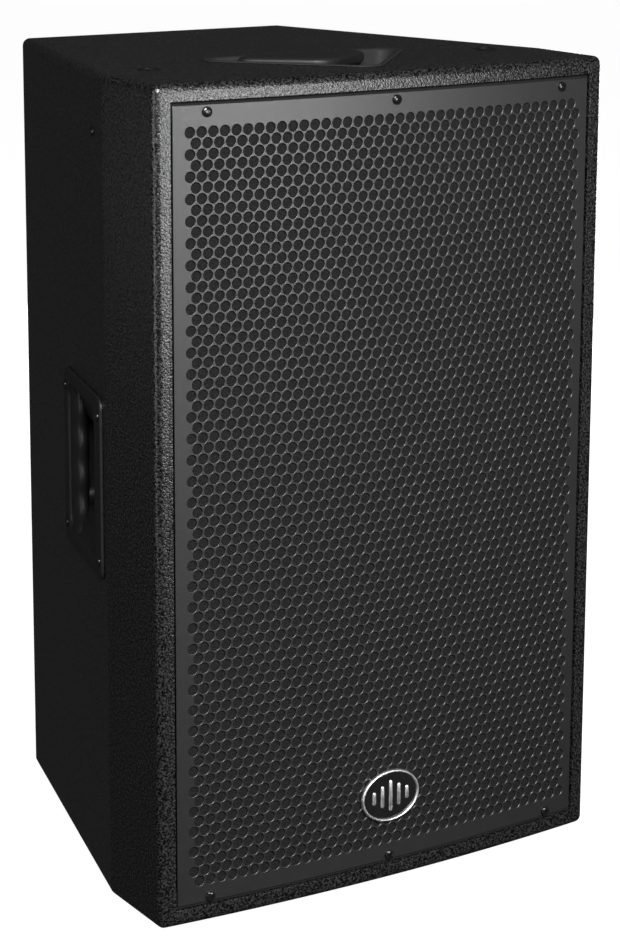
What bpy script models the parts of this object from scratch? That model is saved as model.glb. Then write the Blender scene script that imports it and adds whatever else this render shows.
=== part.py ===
"""A passive two-way loudspeaker cabinet for public address.

A 15-inch woofer and a horn sit behind a bowed grille. The cabinet's plan is a hexagon: a bowed front,
two short straight cheeks, and two long wings that taper to a narrow back.
Lengths are metres. The front faces -Y, up is +Z, and z = 0 is the floor under the feet.
Inside this script y = 0 is the middle of the grille's outer face. The empty "cabinet_origin" then moves
everything so that the world origin is the middle of the object's footprint.
"""

import math

import bmesh
import bpy
from mathutils import Matrix, Vector

# Driving dimensions
CABINET_HEIGHT = 0.714
FRONT_WIDTH = 0.450
BACK_WIDTH = 0.280
CABINET_DEPTH = 0.416
CHEEK_END = 0.0975
PANEL = 0.015
FOOT_HEIGHT = 0.008
BOW_RADIUS = 2.2
FRONT_LIP = 0.0015
EDGE_RADIUS = 0.007
GAP = 0.0003

# Grille
GRILLE_WIDTH = 0.416
GRILLE_HEIGHT = 0.6778
GRILLE_SHEET = 0.0015
FOAM_THICKNESS = 0.005
RAIL_HEIGHT = 0.0155
GRILLE_SCREW_X = 0.1778
BADGE_SIZE = (0.060, 0.047)
BADGE_HEIGHT = 0.0782
BADGE_STANDOFF = 0.0032

# Baffle and what it carries
BAFFLE_FRONT = 0.030
BAFFLE = 0.018
WOOFER_HEIGHT = 0.250
HORN_HEIGHT = 0.556
HORN_FLANGE = 0.190
PORT_X = 0.155

# Handles, fly points and fittings
HANDLE_PLATE = (0.142, 0.160)
HANDLE_FROM_BEND = 0.081
HANDLE_HEIGHT = 0.3605
PLATE_PROUD = 0.0028
TOP_HANDLE_BACK = 0.160
TOP_HANDLE_FRONT = 0.024
TOP_HANDLE_SLOPE = 1.126
TOP_HANDLE_PROUD = 0.0015
TOP_FLY_POINT = (0.172, 0.113)
SIDE_FLY_POINT = (0.036, 0.6632)
REAR_FLY_POINT = 0.600
POLE_Y = 0.205
POLE_RADIUS = 0.01775
CONNECTOR_HEIGHT = 0.250
CROSSOVER_HEIGHT = 0.420

BOTTOM = FOOT_HEIGHT
TOP = FOOT_HEIGHT + CABINET_HEIGHT
INNER_BOTTOM = BOTTOM + PANEL + GAP
INNER_TOP = TOP - PANEL - GAP
HALF_FRONT = FRONT_WIDTH / 2
HALF_BACK = BACK_WIDTH / 2
WING_ANGLE = math.atan2(HALF_FRONT - HALF_BACK, CABINET_DEPTH - CHEEK_END)
FRONT_MOST = -BADGE_STANDOFF
BACK_MOST = CABINET_DEPTH + 0.0015
ORIGIN_Y = -(FRONT_MOST + BACK_MOST) / 2


def cleared_scene():
    for old in list(bpy.data.objects):
        bpy.data.objects.remove(old)


def new_collection(name):
    made = bpy.data.collections.new(name)
    bpy.context.scene.collection.children.link(made)
    return made


cleared_scene()
PARTS = new_collection("pa_speaker_cabinet")
CUTTERS = new_collection("cutters")
ORIGIN = bpy.data.objects.new("cabinet_origin", None)
ORIGIN.location = (0, ORIGIN_Y, 0)
PARTS.objects.link(ORIGIN)


# Materials


def material(name, colour, roughness, metallic=0.0):
    made = bpy.data.materials.new(name)
    made.use_nodes = True
    made.diffuse_color = (*colour, 1)
    shader = made.node_tree.nodes["Principled BSDF"]
    shader.inputs["Base Color"].default_value = (*colour, 1)
    shader.inputs["Roughness"].default_value = roughness
    shader.inputs["Metallic"].default_value = metallic
    return made


PAINT = material("textured_paint", (0.014, 0.014, 0.015), 0.6)
GRILLE_PAINT = material("grille_paint", (0.035, 0.035, 0.036), 0.45, 0.3)
FOAM = material("foam", (0.02, 0.02, 0.02), 0.95)
CHROME = material("chrome", (0.75, 0.75, 0.76), 0.12, 1.0)
BLACK_GLOSS = material("badge_black", (0.008, 0.008, 0.008), 0.12)
BLACK_STEEL = material("black_steel", (0.02, 0.02, 0.02), 0.3, 0.9)
MOULDING = material("black_moulding", (0.012, 0.012, 0.012), 0.4)
RUBBER = material("rubber", (0.015, 0.015, 0.015), 0.85)
PAPER = material("paper_cone", (0.02, 0.02, 0.022), 0.8)
CLOTH = material("treated_cloth", (0.03, 0.028, 0.025), 0.85)
CAST = material("cast_frame", (0.03, 0.03, 0.03), 0.5, 0.6)
STEEL = material("plated_steel", (0.55, 0.55, 0.56), 0.35, 1.0)
FERRITE = material("ferrite", (0.05, 0.05, 0.052), 0.6)
COPPER = material("copper", (0.6, 0.25, 0.12), 0.35, 1.0)
BOARD = material("circuit_board", (0.02, 0.09, 0.04), 0.5)
FELT = material("felt", (0.12, 0.12, 0.12), 0.98)
WOOD = material("plywood", (0.42, 0.28, 0.15), 0.7)


# Building blocks


def place(mesh, name, finish, parent=None, location=(0, 0, 0), rotation=(0, 0, 0), collection=None):
    """Links a mesh as an object under its parent, with its material."""
    made = bpy.data.objects.new(name, mesh)
    (collection or PARTS).objects.link(made)
    made.parent = parent or ORIGIN
    made.location = location
    made.rotation_euler = rotation
    if finish:
        mesh.materials.clear()
        mesh.materials.append(finish)
    return made


def helper(mesh, name, parent=None, location=(0, 0, 0), rotation=(0, 0, 0)):
    """A solid that only cuts another or is joined to it."""
    made = place(mesh, name, None, parent, location, rotation, CUTTERS)
    made.hide_render = True
    made.display_type = "WIRE"
    return made


def boolean(target, other, operation):
    modifier = target.modifiers.new(f"{operation.lower()}_{other.name}", "BOOLEAN")
    modifier.operation = operation
    modifier.solver = "EXACT"
    modifier.object = other


def cut(target, other):
    boolean(target, other, "DIFFERENCE")


def join(target, other):
    boolean(target, other, "UNION")


def tidied(mesh, work):
    """Runs work on the mesh's bmesh, welds it and turns its faces outwards."""
    shape = bmesh.new()
    shape.from_mesh(mesh)
    work(shape)
    bmesh.ops.remove_doubles(shape, verts=shape.verts, dist=1e-6)
    bmesh.ops.recalc_face_normals(shape, faces=shape.faces)
    shape.to_mesh(mesh)
    shape.free()
    return mesh


def made_mesh(name, work):
    return tidied(bpy.data.meshes.new(name), work)


def mesh_of_curve(curve):
    """The closed mesh that a curve makes, its caps welded on."""
    holder = bpy.data.objects.new(curve.name, curve)
    bpy.context.scene.collection.objects.link(holder)
    bpy.context.view_layer.update()
    graph = bpy.context.evaluated_depsgraph_get()
    mesh = bpy.data.meshes.new_from_object(holder.evaluated_get(graph))
    bpy.data.objects.remove(holder)
    return tidied(mesh, lambda shape: None)


def sheet(name, loops, thickness):
    """A flat outline in the XY plane, with holes where further loops are given, centred on z = 0."""
    curve = bpy.data.curves.new(name, "CURVE")
    curve.dimensions = "2D"
    curve.fill_mode = "BOTH"
    curve.extrude = thickness / 2
    for loop in loops:
        spline = curve.splines.new("POLY")
        spline.points.add(len(loop) - 1)
        for point, (x, y) in zip(spline.points, loop):
            point.co = (x, y, 0, 1)
        spline.use_cyclic_u = True
    return mesh_of_curve(curve)


def box(name, low, high):
    """A box between two corners."""
    size = Vector(high) - Vector(low)
    middle = (Vector(high) + Vector(low)) / 2
    matrix = Matrix.Translation(middle) @ Matrix.Diagonal((*size, 1))
    return made_mesh(name, lambda shape: bmesh.ops.create_cube(shape, size=1, matrix=matrix))


def cylinder(name, radius, length, segments=16):
    """A cylinder along Z, centred on z = 0."""
    return made_mesh(
        name,
        lambda shape: bmesh.ops.create_cone(
            shape,
            cap_ends=True,
            segments=segments,
            radius1=radius,
            radius2=radius,
            depth=length,
        ),
    )


def turned(name, profile, finish, steps, parent, location=(0, 0, 0), rotation=(0, 0, 0)):
    """A solid turned about its own Z from (radius, height) points, which may end on the axis."""
    closed = min(radius for radius, _ in profile) > 0
    around = list(profile)
    area = sum(
        a[0] * b[1] - b[0] * a[1] for a, b in zip(around, around[1:] + around[:1])
    )
    if area > 0:
        around.reverse()
    if not closed:
        while around[0][0] > 0 or around[-1][0] > 0:
            around = around[1:] + around[:1]
    mesh = bpy.data.meshes.new(name)
    shape = bmesh.new()
    corners = [shape.verts.new((radius, 0, height)) for radius, height in around]
    for first, second in zip(corners, corners[1:]):
        shape.edges.new((first, second))
    if closed:
        shape.edges.new((corners[-1], corners[0]))
    shape.to_mesh(mesh)
    shape.free()
    made = place(mesh, name, finish, parent, location, rotation)
    screw = made.modifiers.new("turn", "SCREW")
    screw.steps = steps
    screw.render_steps = steps
    screw.use_merge_vertices = True
    screw.merge_threshold = 1e-6
    screw.use_smooth_shade = True
    return made


def tube_along(name, points, radius, finish):
    """A lead of round section that follows a smooth curve through the points."""
    curve = bpy.data.curves.new(name, "CURVE")
    curve.dimensions = "3D"
    curve.bevel_depth = radius
    curve.bevel_resolution = 2
    curve.use_fill_caps = True
    spline = curve.splines.new("POLY")
    path = smooth_path(points, 4)
    spline.points.add(len(path) - 1)
    for point, place_of in zip(spline.points, path):
        point.co = (*place_of, 1)
    return place(mesh_of_curve(curve), name, finish)


def smooth_path(points, steps):
    """Points on a Catmull-Rom curve through the given ones."""
    ends = [2 * Vector(points[0]) - Vector(points[1]), 2 * Vector(points[-1]) - Vector(points[-2])]
    knots = [ends[0], *map(Vector, points), ends[1]]
    path = []
    for a, b, c, d in zip(knots, knots[1:], knots[2:], knots[3:]):
        for step in range(steps):
            t = step / steps
            curved = (2 * a - 5 * b + 4 * c - d) * t**2 + (3 * b - a - 3 * c + d) * t**3
            path.append((2 * b + (c - a) * t + curved) / 2)
    path.append(Vector(points[-1]))
    return path


# Outlines


def rounded(corners, segments=4):
    """An outline from (x, y, radius) corners, each radius drawn as an arc."""
    points = []
    for index, (x, y, radius) in enumerate(corners):
        if radius == 0:
            points.append((x, y))
            continue
        corner = Vector((x, y))
        before = (Vector(corners[index - 1][:2]) - corner).normalized()
        after = (Vector(corners[(index + 1) % len(corners)][:2]) - corner).normalized()
        half = before.angle(after) / 2
        centre = corner + (before + after).normalized() * radius / math.sin(half)
        first = corner + before * radius / math.tan(half) - centre
        last = corner + after * radius / math.tan(half) - centre
        sweep = first.angle_signed(last)
        for step in range(segments + 1):
            turn = -sweep * step / segments
            points.append(
                (
                    centre.x + first.x * math.cos(turn) - first.y * math.sin(turn),
                    centre.y + first.x * math.sin(turn) + first.y * math.cos(turn),
                )
            )
    return points


def rectangle(width, height, radius=0.0, centre=(0, 0), segments=4):
    x, y = width / 2, height / 2
    corners = [(-x, -y, radius), (x, -y, radius), (x, y, radius), (-x, y, radius)]
    return [(px + centre[0], py + centre[1]) for px, py in rounded(corners, segments)]


def ellipse(width, height, count, centre=(0, 0)):
    turns = [2 * math.pi * step / count for step in range(count)]
    return [(centre[0] + width / 2 * math.cos(t), centre[1] + height / 2 * math.sin(t)) for t in turns]


def bow(x, behind=0.0):
    """How far back a surface lies at x, when it follows the grille's outer face at a distance behind it."""
    radius = BOW_RADIUS - behind
    return behind + radius - math.sqrt(radius**2 - x**2)


def bow_points(half_width, behind, count=16):
    """Points along the bow from left to right."""
    xs = [half_width * (2 * step / count - 1) for step in range(count + 1)]
    return [(x, bow(x, behind)) for x in xs]


def bowed_band(half_width, behind, thickness, count=16):
    """The plan of a sheet that follows the bow."""
    front = bow_points(half_width, behind, count)
    back = bow_points(half_width, behind + thickness, count)
    return front + back[::-1]


def wing_inner_x(y):
    """The wing's inner face, at a distance back from the front."""
    return HALF_FRONT - PANEL / math.cos(WING_ANGLE) - (y - CHEEK_END) * math.tan(WING_ANGLE)


def cabinet_plan():
    """The whole hexagonal outline, as the top and bottom panels have it."""
    front = [(x, y, 0) for x, y in bow_points(HALF_FRONT - 0.02, -FRONT_LIP, 14)]
    corner_y = bow(HALF_FRONT, -FRONT_LIP)
    right = [
        (HALF_FRONT, corner_y, EDGE_RADIUS),
        (HALF_FRONT, CHEEK_END, 0),
        (HALF_BACK, CABINET_DEPTH, EDGE_RADIUS),
    ]
    left = [(-x, y, radius) for x, y, radius in reversed(right)]
    return rounded(front + right + left)


def horizontal(name, loops, low, high):
    """A sheet with its plan in XY, between two heights."""
    mesh = sheet(name, loops, high - low)
    mesh.transform(Matrix.Translation((0, 0, (low + high) / 2)))
    return mesh


def rounded_rim(mesh, height, radius):
    """Rounds every edge that lies at a height and bounds the flat face there."""

    def work(shape):
        rim = [
            edge
            for edge in shape.edges
            if all(abs(vert.co.z - height) < 1e-6 for vert in edge.verts)
            and any(abs(face.normal.z) < 0.5 for face in edge.link_faces)
        ]
        bmesh.ops.bevel(shape, geom=rim, offset=radius, segments=3, profile=0.5, affect="EDGES")

    return tidied(mesh, work)


# Cabinet panels


def make_top_and_bottom():
    top = horizontal("top_panel", [cabinet_plan()], TOP - PANEL, TOP)
    top_panel = place(rounded_rim(top, TOP, EDGE_RADIUS), "top_panel", PAINT)
    bottom = horizontal("bottom_panel", [cabinet_plan()], BOTTOM, BOTTOM + PANEL)
    bottom_panel = place(rounded_rim(bottom, BOTTOM, EDGE_RADIUS), "bottom_panel", PAINT)
    hole = cylinder("pole_socket_hole", POLE_RADIUS + 0.0045, 0.05, 24)
    cut(bottom_panel, helper(hole, "pole_socket_hole", location=(0, POLE_Y, BOTTOM)))
    return top_panel, bottom_panel


def make_cheek(side, name):
    inner = HALF_FRONT - PANEL
    mitre = CHEEK_END - PANEL * math.tan(WING_ANGLE / 2)
    plan = rounded(
        [
            (side * HALF_FRONT, bow(HALF_FRONT, -FRONT_LIP), EDGE_RADIUS),
            (side * HALF_FRONT, CHEEK_END - GAP / 2, 0),
            (side * inner, mitre - GAP / 2, 0),
            (side * inner, bow(inner, -FRONT_LIP), 0),
        ]
    )
    return place(horizontal(name, [plan], INNER_BOTTOM, INNER_TOP), name, PAINT)


def make_wing(side, name):
    inner = HALF_FRONT - PANEL
    mitre = CHEEK_END - PANEL * math.tan(WING_ANGLE / 2)
    plan = rounded(
        [
            (side * HALF_FRONT, CHEEK_END + GAP / 2, 0),
            (side * HALF_BACK, CABINET_DEPTH, EDGE_RADIUS),
            (side * wing_inner_x(CABINET_DEPTH), CABINET_DEPTH, 0),
            (side * inner, mitre + GAP / 2, 0),
        ]
    )
    return place(horizontal(name, [plan], INNER_BOTTOM, INNER_TOP), name, PAINT)


def make_rear_panel():
    inner_y = CABINET_DEPTH - PANEL
    wide = wing_inner_x(inner_y) - GAP
    narrow = wing_inner_x(CABINET_DEPTH) - GAP
    plan = [(-narrow, CABINET_DEPTH), (narrow, CABINET_DEPTH), (wide, inner_y), (-wide, inner_y)]
    rear = place(horizontal("rear_panel", [plan], INNER_BOTTOM, INNER_TOP), "rear_panel", PAINT)
    opening = box(
        "connector_opening",
        (-0.080, CABINET_DEPTH - 0.05, BOTTOM + CONNECTOR_HEIGHT - 0.050),
        (0.080, CABINET_DEPTH + 0.05, BOTTOM + CONNECTOR_HEIGHT + 0.050),
    )
    cut(rear, helper(opening, "connector_opening"))
    return rear


def make_baffle():
    """A flat board with a notch for the top handle's pocket. Drawn in XY and stood up, so Y becomes height."""
    width = FRONT_WIDTH - 2 * PANEL - 2 * GAP
    height = INNER_TOP - INNER_BOTTOM
    middle = (INNER_TOP + INNER_BOTTOM) / 2
    loops = [
        rectangle(width, height),
        ellipse(0.354, 0.354, 36, (0, BOTTOM + WOOFER_HEIGHT - middle)),
        rectangle(0.174, 0.174, 0.010, (0, BOTTOM + HORN_HEIGHT - middle)),
        ellipse(0.094, 0.094, 24, (-PORT_X, BOTTOM + HORN_HEIGHT - middle)),
        ellipse(0.094, 0.094, 24, (PORT_X, BOTTOM + HORN_HEIGHT - middle)),
    ]
    mesh = sheet("front_baffle", loops, BAFFLE)
    centre = (0, BAFFLE_FRONT + BAFFLE / 2, middle)
    baffle = place(mesh, "front_baffle", PAINT, location=centre, rotation=(math.pi / 2, 0, 0))
    notch = box(
        "top_handle_notch",
        (-0.024, BAFFLE_FRONT - 0.01, TOP - 0.052),
        (0.024, BAFFLE_FRONT + BAFFLE + 0.01, TOP),
    )
    cut(baffle, helper(notch, "top_handle_notch"))


def make_shelf_brace():
    front, back = BAFFLE_FRONT + BAFFLE + GAP, 0.300
    clear = 2 * GAP
    straight = HALF_FRONT - PANEL - clear
    outline = [
        (-straight, front),
        (straight, front),
        (straight, CHEEK_END - 0.004),
        (wing_inner_x(back) - clear, back),
        (-wing_inner_x(back) + clear, back),
        (-straight, CHEEK_END - 0.004),
    ]
    window = rectangle(0.270, 0.170, 0.030, (0, 0.180))
    level = BOTTOM + 0.452
    mesh = horizontal("shelf_brace", [outline, window], level - PANEL / 2, level + PANEL / 2)
    return place(mesh, "shelf_brace", WOOD)


# Grille, its rails, foam, screws and badge


def grille_screw_places():
    """(x, height) of each grille screw."""
    top, bottom = BOTTOM + 0.690, BOTTOM + 0.0224
    return [(x, z) for z in (top, bottom) for x in (-GRILLE_SCREW_X, 0, GRILLE_SCREW_X)]


def screw_seat(x, z):
    """Where a grille screw goes, and how it is turned to stand square on the bowed sheet."""
    return (x, bow(x), z), (math.pi / 2, 0, math.asin(x / BOW_RADIUS))


def screw_hole(name, x, z):
    return helper(cylinder(name, 0.0027, 0.05, 12), name, None, *screw_seat(x, z))


def make_grille():
    middle = BOTTOM + CABINET_HEIGHT / 2
    low, high = middle - GRILLE_HEIGHT / 2, middle + GRILLE_HEIGHT / 2
    plan = bowed_band(GRILLE_WIDTH / 2, 0, GRILLE_SHEET)
    grille = place(horizontal("grille", [plan], low, high), "grille", GRILLE_PAINT)
    foam_low, foam_high = INNER_BOTTOM + RAIL_HEIGHT + GAP, INNER_TOP - RAIL_HEIGHT - GAP
    foam_plan = bowed_band(GRILLE_WIDTH / 2 - 0.002, GRILLE_SHEET + GAP, FOAM_THICKNESS)
    place(horizontal("grille_foam", [foam_plan], foam_low, foam_high), "grille_foam", FOAM)
    for number, (x, z) in enumerate(grille_screw_places(), 1):
        cut(grille, screw_hole(f"grille_hole_{number}", x, z))


def make_rails():
    half = HALF_FRONT - PANEL - 3 * GAP
    front = bow_points(half, GRILLE_SHEET + GAP)
    plan = front + [(half, BAFFLE_FRONT - GAP), (-half, BAFFLE_FRONT - GAP)]
    spans = {
        "grille_rail_top": (INNER_TOP - RAIL_HEIGHT, INNER_TOP - GAP),
        "grille_rail_bottom": (INNER_BOTTOM + GAP, INNER_BOTTOM + RAIL_HEIGHT),
    }
    for name, (low, high) in spans.items():
        rail = place(horizontal(name, [plan], low, high), name, WOOD)
        for number, (x, z) in enumerate(grille_screw_places(), 1):
            if low < z < high:
                cut(rail, screw_hole(f"{name}_hole_{number}", x, z))


def make_grille_screws():
    profile = [
        (0, 0.0026),
        (0.0026, 0.0024),
        (0.0042, 0.0014),
        (0.0048, GAP),
        (0.0022, GAP),
        (0.0022, -0.014),
        (0, -0.015),
    ]
    for number, (x, z) in enumerate(grille_screw_places(), 1):
        screw = turned(f"grille_screw_{number}", profile, BLACK_STEEL, 12, None, *screw_seat(x, z))
        recess_name = f"screw_recess_{number}"
        recess = helper(cylinder(recess_name, 0.0014, 0.002, 6), recess_name, screw, (0, 0, 0.0026))
        cut(screw, recess)


def make_badge():
    upright = (math.pi / 2, 0, 0)
    width, height = BADGE_SIZE
    thickness = BADGE_STANDOFF - GAP
    band = 0.006
    outer = ellipse(width, height, 32)
    ring = sheet("badge_ring", [outer, ellipse(width - band, height - band, 32)], thickness)
    centre = (0, -GAP - thickness / 2, BOTTOM + BADGE_HEIGHT)
    placed = place(ring, "badge_ring", CHROME, location=centre, rotation=upright)
    bevel = placed.modifiers.new("round", "BEVEL")
    bevel.width = 0.0008
    bevel.segments = 1
    bevel.limit_method = "ANGLE"
    inner = (width - band - 2 * GAP, height - band - 2 * GAP)
    plate = sheet("badge_plate", [ellipse(*inner, 32)], thickness - 0.001)
    centre = (0, -GAP - (thickness - 0.001) / 2, BOTTOM + BADGE_HEIGHT)
    place(plate, "badge_plate", BLACK_GLOSS, location=centre, rotation=upright)


# Drive units. Each is turned about an axis that points out of the front


def driver_seat(name, height):
    """An empty on a drive unit's axis, at the baffle's front face, whose +Z points forwards."""
    seat = bpy.data.objects.new(name, None)
    PARTS.objects.link(seat)
    seat.parent = ORIGIN
    seat.location = (0, BAFFLE_FRONT - GAP, BOTTOM + height)
    seat.rotation_euler = (math.pi / 2, 0, 0)
    return seat


def make_woofer():
    seat = driver_seat("woofer_seat", WOOFER_HEIGHT)
    frame_profile = [
        (0.1925, 0.006),
        (0.1925, 0.0),
        (0.1762, 0.0),
        (0.1700, -0.010),
        (0.0970, -0.074),
        (0.0790, -0.096),
        (0.0790, -0.104),
        (0.0480, -0.104),
        (0.0480, -0.098),
        (0.0720, -0.098),
        (0.0760, -0.090),
        (0.0830, -0.0745),
        (0.0930, -0.0710),
        (0.1640, -0.0085),
        (0.1720, 0.006),
    ]
    frame = turned("woofer_frame", frame_profile, CAST, 32, seat)
    for number in range(6):
        turn = math.radians(60 * number + 30)
        window = box(f"frame_window_{number}", (-0.030, 0.090, -0.0665), (0.030, 0.200, -0.018))
        cut(frame, helper(window, f"frame_window_{number}", seat, rotation=(0, 0, turn)))

    lip = 0.006 + GAP
    roll = []
    outer, inner, rolls = 0.1705, 0.1605, 2
    samples = 6
    for step in range(samples + 1):
        share = step / samples
        radius = outer + (inner - outer) * share
        roll.append((radius, lip + 0.0008 + 0.0045 * abs(math.sin(rolls * math.pi * share))))
    under = [(radius, height - 0.0008) for radius, height in reversed(roll)]
    surround = [(0.1800, lip + 0.0008), *roll, *under, (0.1800, lip)]
    turned("woofer_surround", surround, CLOTH, 32, seat)
    low = lip + 0.0008 + GAP
    high = low + 0.003
    gasket = [(0.1920, high), (0.1920, low), (0.1740, low), (0.1740, high)]
    turned("woofer_gasket", gasket, RUBBER, 32, seat)

    cone = [(0.1600, 0.0060), (0.1600, 0.0050), (0.0392, -0.0600), (0.0392, -0.0588)]
    turned("woofer_cone", cone, PAPER, 32, seat)
    cap_edge, cap_rise, cap_base = 0.058, 0.016, -0.0475
    turns = [math.pi / 2 * step / 5 for step in range(6)]
    cap = [(cap_edge * math.sin(turn), cap_base + cap_rise * math.cos(turn)) for turn in turns]
    cap_inner = [(max(radius - 0.0008, 0), height - 0.0008) for radius, height in reversed(cap)]
    cap_inner[-1] = (0, cap_base + cap_rise - 0.0008)
    turned("woofer_dust_cap", [*cap, *cap_inner], PAPER, 20, seat)
    coil = [(0.0388, -0.0592), (0.0388, -0.122), (0.0380, -0.122), (0.0380, -0.0592)]
    turned("woofer_voice_coil", coil, COPPER, 24, seat)

    spider = []
    spider_outer, spider_inner = 0.0815, 0.0391 + GAP
    for step in range(10):
        share = step / 9
        radius = spider_outer + (spider_inner - spider_outer) * share
        spider.append((radius, -0.0735 + 0.0022 * math.sin(3 * math.pi * share)))
    below = [(radius, height - 0.0007) for radius, height in reversed(spider)]
    turned("woofer_spider", [*spider, *below], CLOTH, 20, seat)

    turned(
        "woofer_top_plate",
        [(0.0760, -0.1043), (0.0760, -0.1123), (0.0405, -0.1123), (0.0405, -0.1043)],
        STEEL,
        28,
        seat,
    )
    turned(
        "woofer_magnet",
        [(0.0780, -0.1126), (0.0780, -0.1326), (0.0460, -0.1326), (0.0460, -0.1126)],
        FERRITE,
        28,
        seat,
    )
    pole = [
        (0.0365, -0.1043),
        (0.0365, -0.1329),
        (0.0740, -0.1329),
        (0.0740, -0.1429),
        (0.0120, -0.1429),
        (0.0120, -0.1043),
    ]
    turned("woofer_pole_plate", pole, STEEL, 28, seat)
    return seat


def make_horn():
    """The waveguide is lofted from a square mouth to a round throat, then given its wall."""
    seat = driver_seat("horn_seat", HORN_HEIGHT)
    mouth, throat, depth = 0.079, 0.0127, 0.090
    count, rings = 20, 4
    mesh = bpy.data.meshes.new("horn_waveguide")
    shape = bmesh.new()

    def ring(half, squareness, height):
        made = []
        for step in range(count):
            turn = 2 * math.pi * (step + 0.5) / count
            x, y = math.cos(turn), math.sin(turn)
            reach = (abs(x) ** squareness + abs(y) ** squareness) ** (-1 / squareness)
            made.append(shape.verts.new((half * reach * x, half * reach * y, height)))
        return made

    loops = [ring(HORN_FLANGE / 2, 30, 0.0045), ring(mouth + 0.003, 12, 0.0045)]
    for step in range(rings + 1):
        share = step / rings
        half = throat + (mouth - throat) * (1 - share) ** 1.7
        loops.append(ring(half, 2 + 8 * (1 - share) ** 2, -depth * share))
    loops.append(ring(0.030, 2, -depth - 0.001))
    for first, second in zip(loops, loops[1:]):
        for step in range(count):
            after = (step + 1) % count
            shape.faces.new((first[step], second[step], second[after], first[after]))
    bmesh.ops.recalc_face_normals(shape, faces=shape.faces)
    shape.to_mesh(mesh)
    shape.free()
    horn = place(mesh, "horn_waveguide", MOULDING, seat)
    wall = horn.modifiers.new("wall", "SOLIDIFY")
    wall.thickness = 0.003
    wall.offset = 0
    wall.use_quality_normals = True

    back = -depth - 0.003
    body = [
        (0.0450, back),
        (0.0450, back - 0.034),
        (0.0270, back - 0.034),
        (0.0270, back - 0.026),
        (0.0215, back - 0.026),
        (0.0215, back - 0.034),
        (0.0160, back - 0.034),
        (0.0127, back),
    ]
    turned("hf_driver_magnet", body, FERRITE, 24, seat)
    plane = back - 0.0350
    turns = [math.pi / 2 * step / 4 for step in range(5)]
    dome = [(0.0236 * math.sin(turn), plane - 0.010 * math.cos(turn)) for turn in turns]
    inner_dome = [(max(radius - 0.0006, 0), height + 0.0006) for radius, height in dome]
    inner_dome[0] = (0, inner_dome[0][1])
    skirt = [(0.0236, plane + 0.007), (0.0230, plane + 0.007)]
    turned("hf_diaphragm", [*dome, *skirt, *inner_dome[::-1]], STEEL, 20, seat)
    ring_low = plane - 0.0006
    suspension = [
        (0.0380, ring_low + 0.0006),
        (0.0380, ring_low),
        (0.0310, ring_low),
        (0.0280, ring_low - 0.0015),
        (0.0250, ring_low),
        (0.0239, ring_low),
        (0.0239, ring_low + 0.0006),
        (0.0250, ring_low + 0.0006),
        (0.0280, ring_low - 0.0009),
        (0.0310, ring_low + 0.0006),
    ]
    turned("hf_suspension", suspension, CLOTH, 20, seat)
    rim = ring_low - GAP
    cover = [
        (0.0420, rim),
        (0.0420, rim - 0.014),
        (0.0380, rim - 0.018),
        (0, rim - 0.018),
        (0, rim - 0.0155),
        (0.0360, rim - 0.0155),
        (0.0385, rim - 0.013),
        (0.0385, rim),
    ]
    turned("hf_driver_cover", cover, MOULDING, 24, seat)
    return seat


def make_ports():
    profile = [
        (0.0520, 0.0035),
        (0.0520, 0.0),
        (0.0462, 0.0),
        (0.0462, -0.060),
        (0.0425, -0.060),
        (0.0425, -0.008),
        (0.0470, 0.0035),
    ]
    for side, name in ((-1, "port_tube_left"), (1, "port_tube_right")):
        place_of = (side * PORT_X, BAFFLE_FRONT - GAP, BOTTOM + HORN_HEIGHT)
        turned(name, profile, MOULDING, 24, None, place_of, (math.pi / 2, 0, 0))


# Handles


def wing_seat(side, name, from_bend, height):
    """An empty on a wing's outer face. Its +Z points out of the wing and its +X to the back."""
    along = Vector((-side * math.sin(WING_ANGLE), math.cos(WING_ANGLE), 0))
    outward = Vector((side * math.cos(WING_ANGLE), math.sin(WING_ANGLE), 0))
    seat = bpy.data.objects.new(name, None)
    PARTS.objects.link(seat)
    seat.parent = ORIGIN
    bend = Vector((side * HALF_FRONT, CHEEK_END, BOTTOM + height))
    seat.matrix_local = Matrix.Translation(bend + along * from_bend) @ Matrix(
        (
            (along.x, outward.cross(along).x, outward.x),
            (along.y, outward.cross(along).y, outward.y),
            (along.z, outward.cross(along).z, outward.z),
        )
    ).to_4x4()
    return seat


def tapered_box(name, top_low, top_high, top_z, bottom_low, bottom_high, bottom_z):
    """A box whose upper and lower faces differ in size."""

    def work(shape):
        bmesh.ops.create_cube(shape, size=2)
        for vert in shape.verts:
            upper = vert.co.z > 0
            low, high = (top_low, top_high) if upper else (bottom_low, bottom_high)
            vert.co = (
                high[0] if vert.co.x > 0 else low[0],
                high[1] if vert.co.y > 0 else low[1],
                top_z if upper else bottom_z,
            )

    return made_mesh(name, work)


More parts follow.
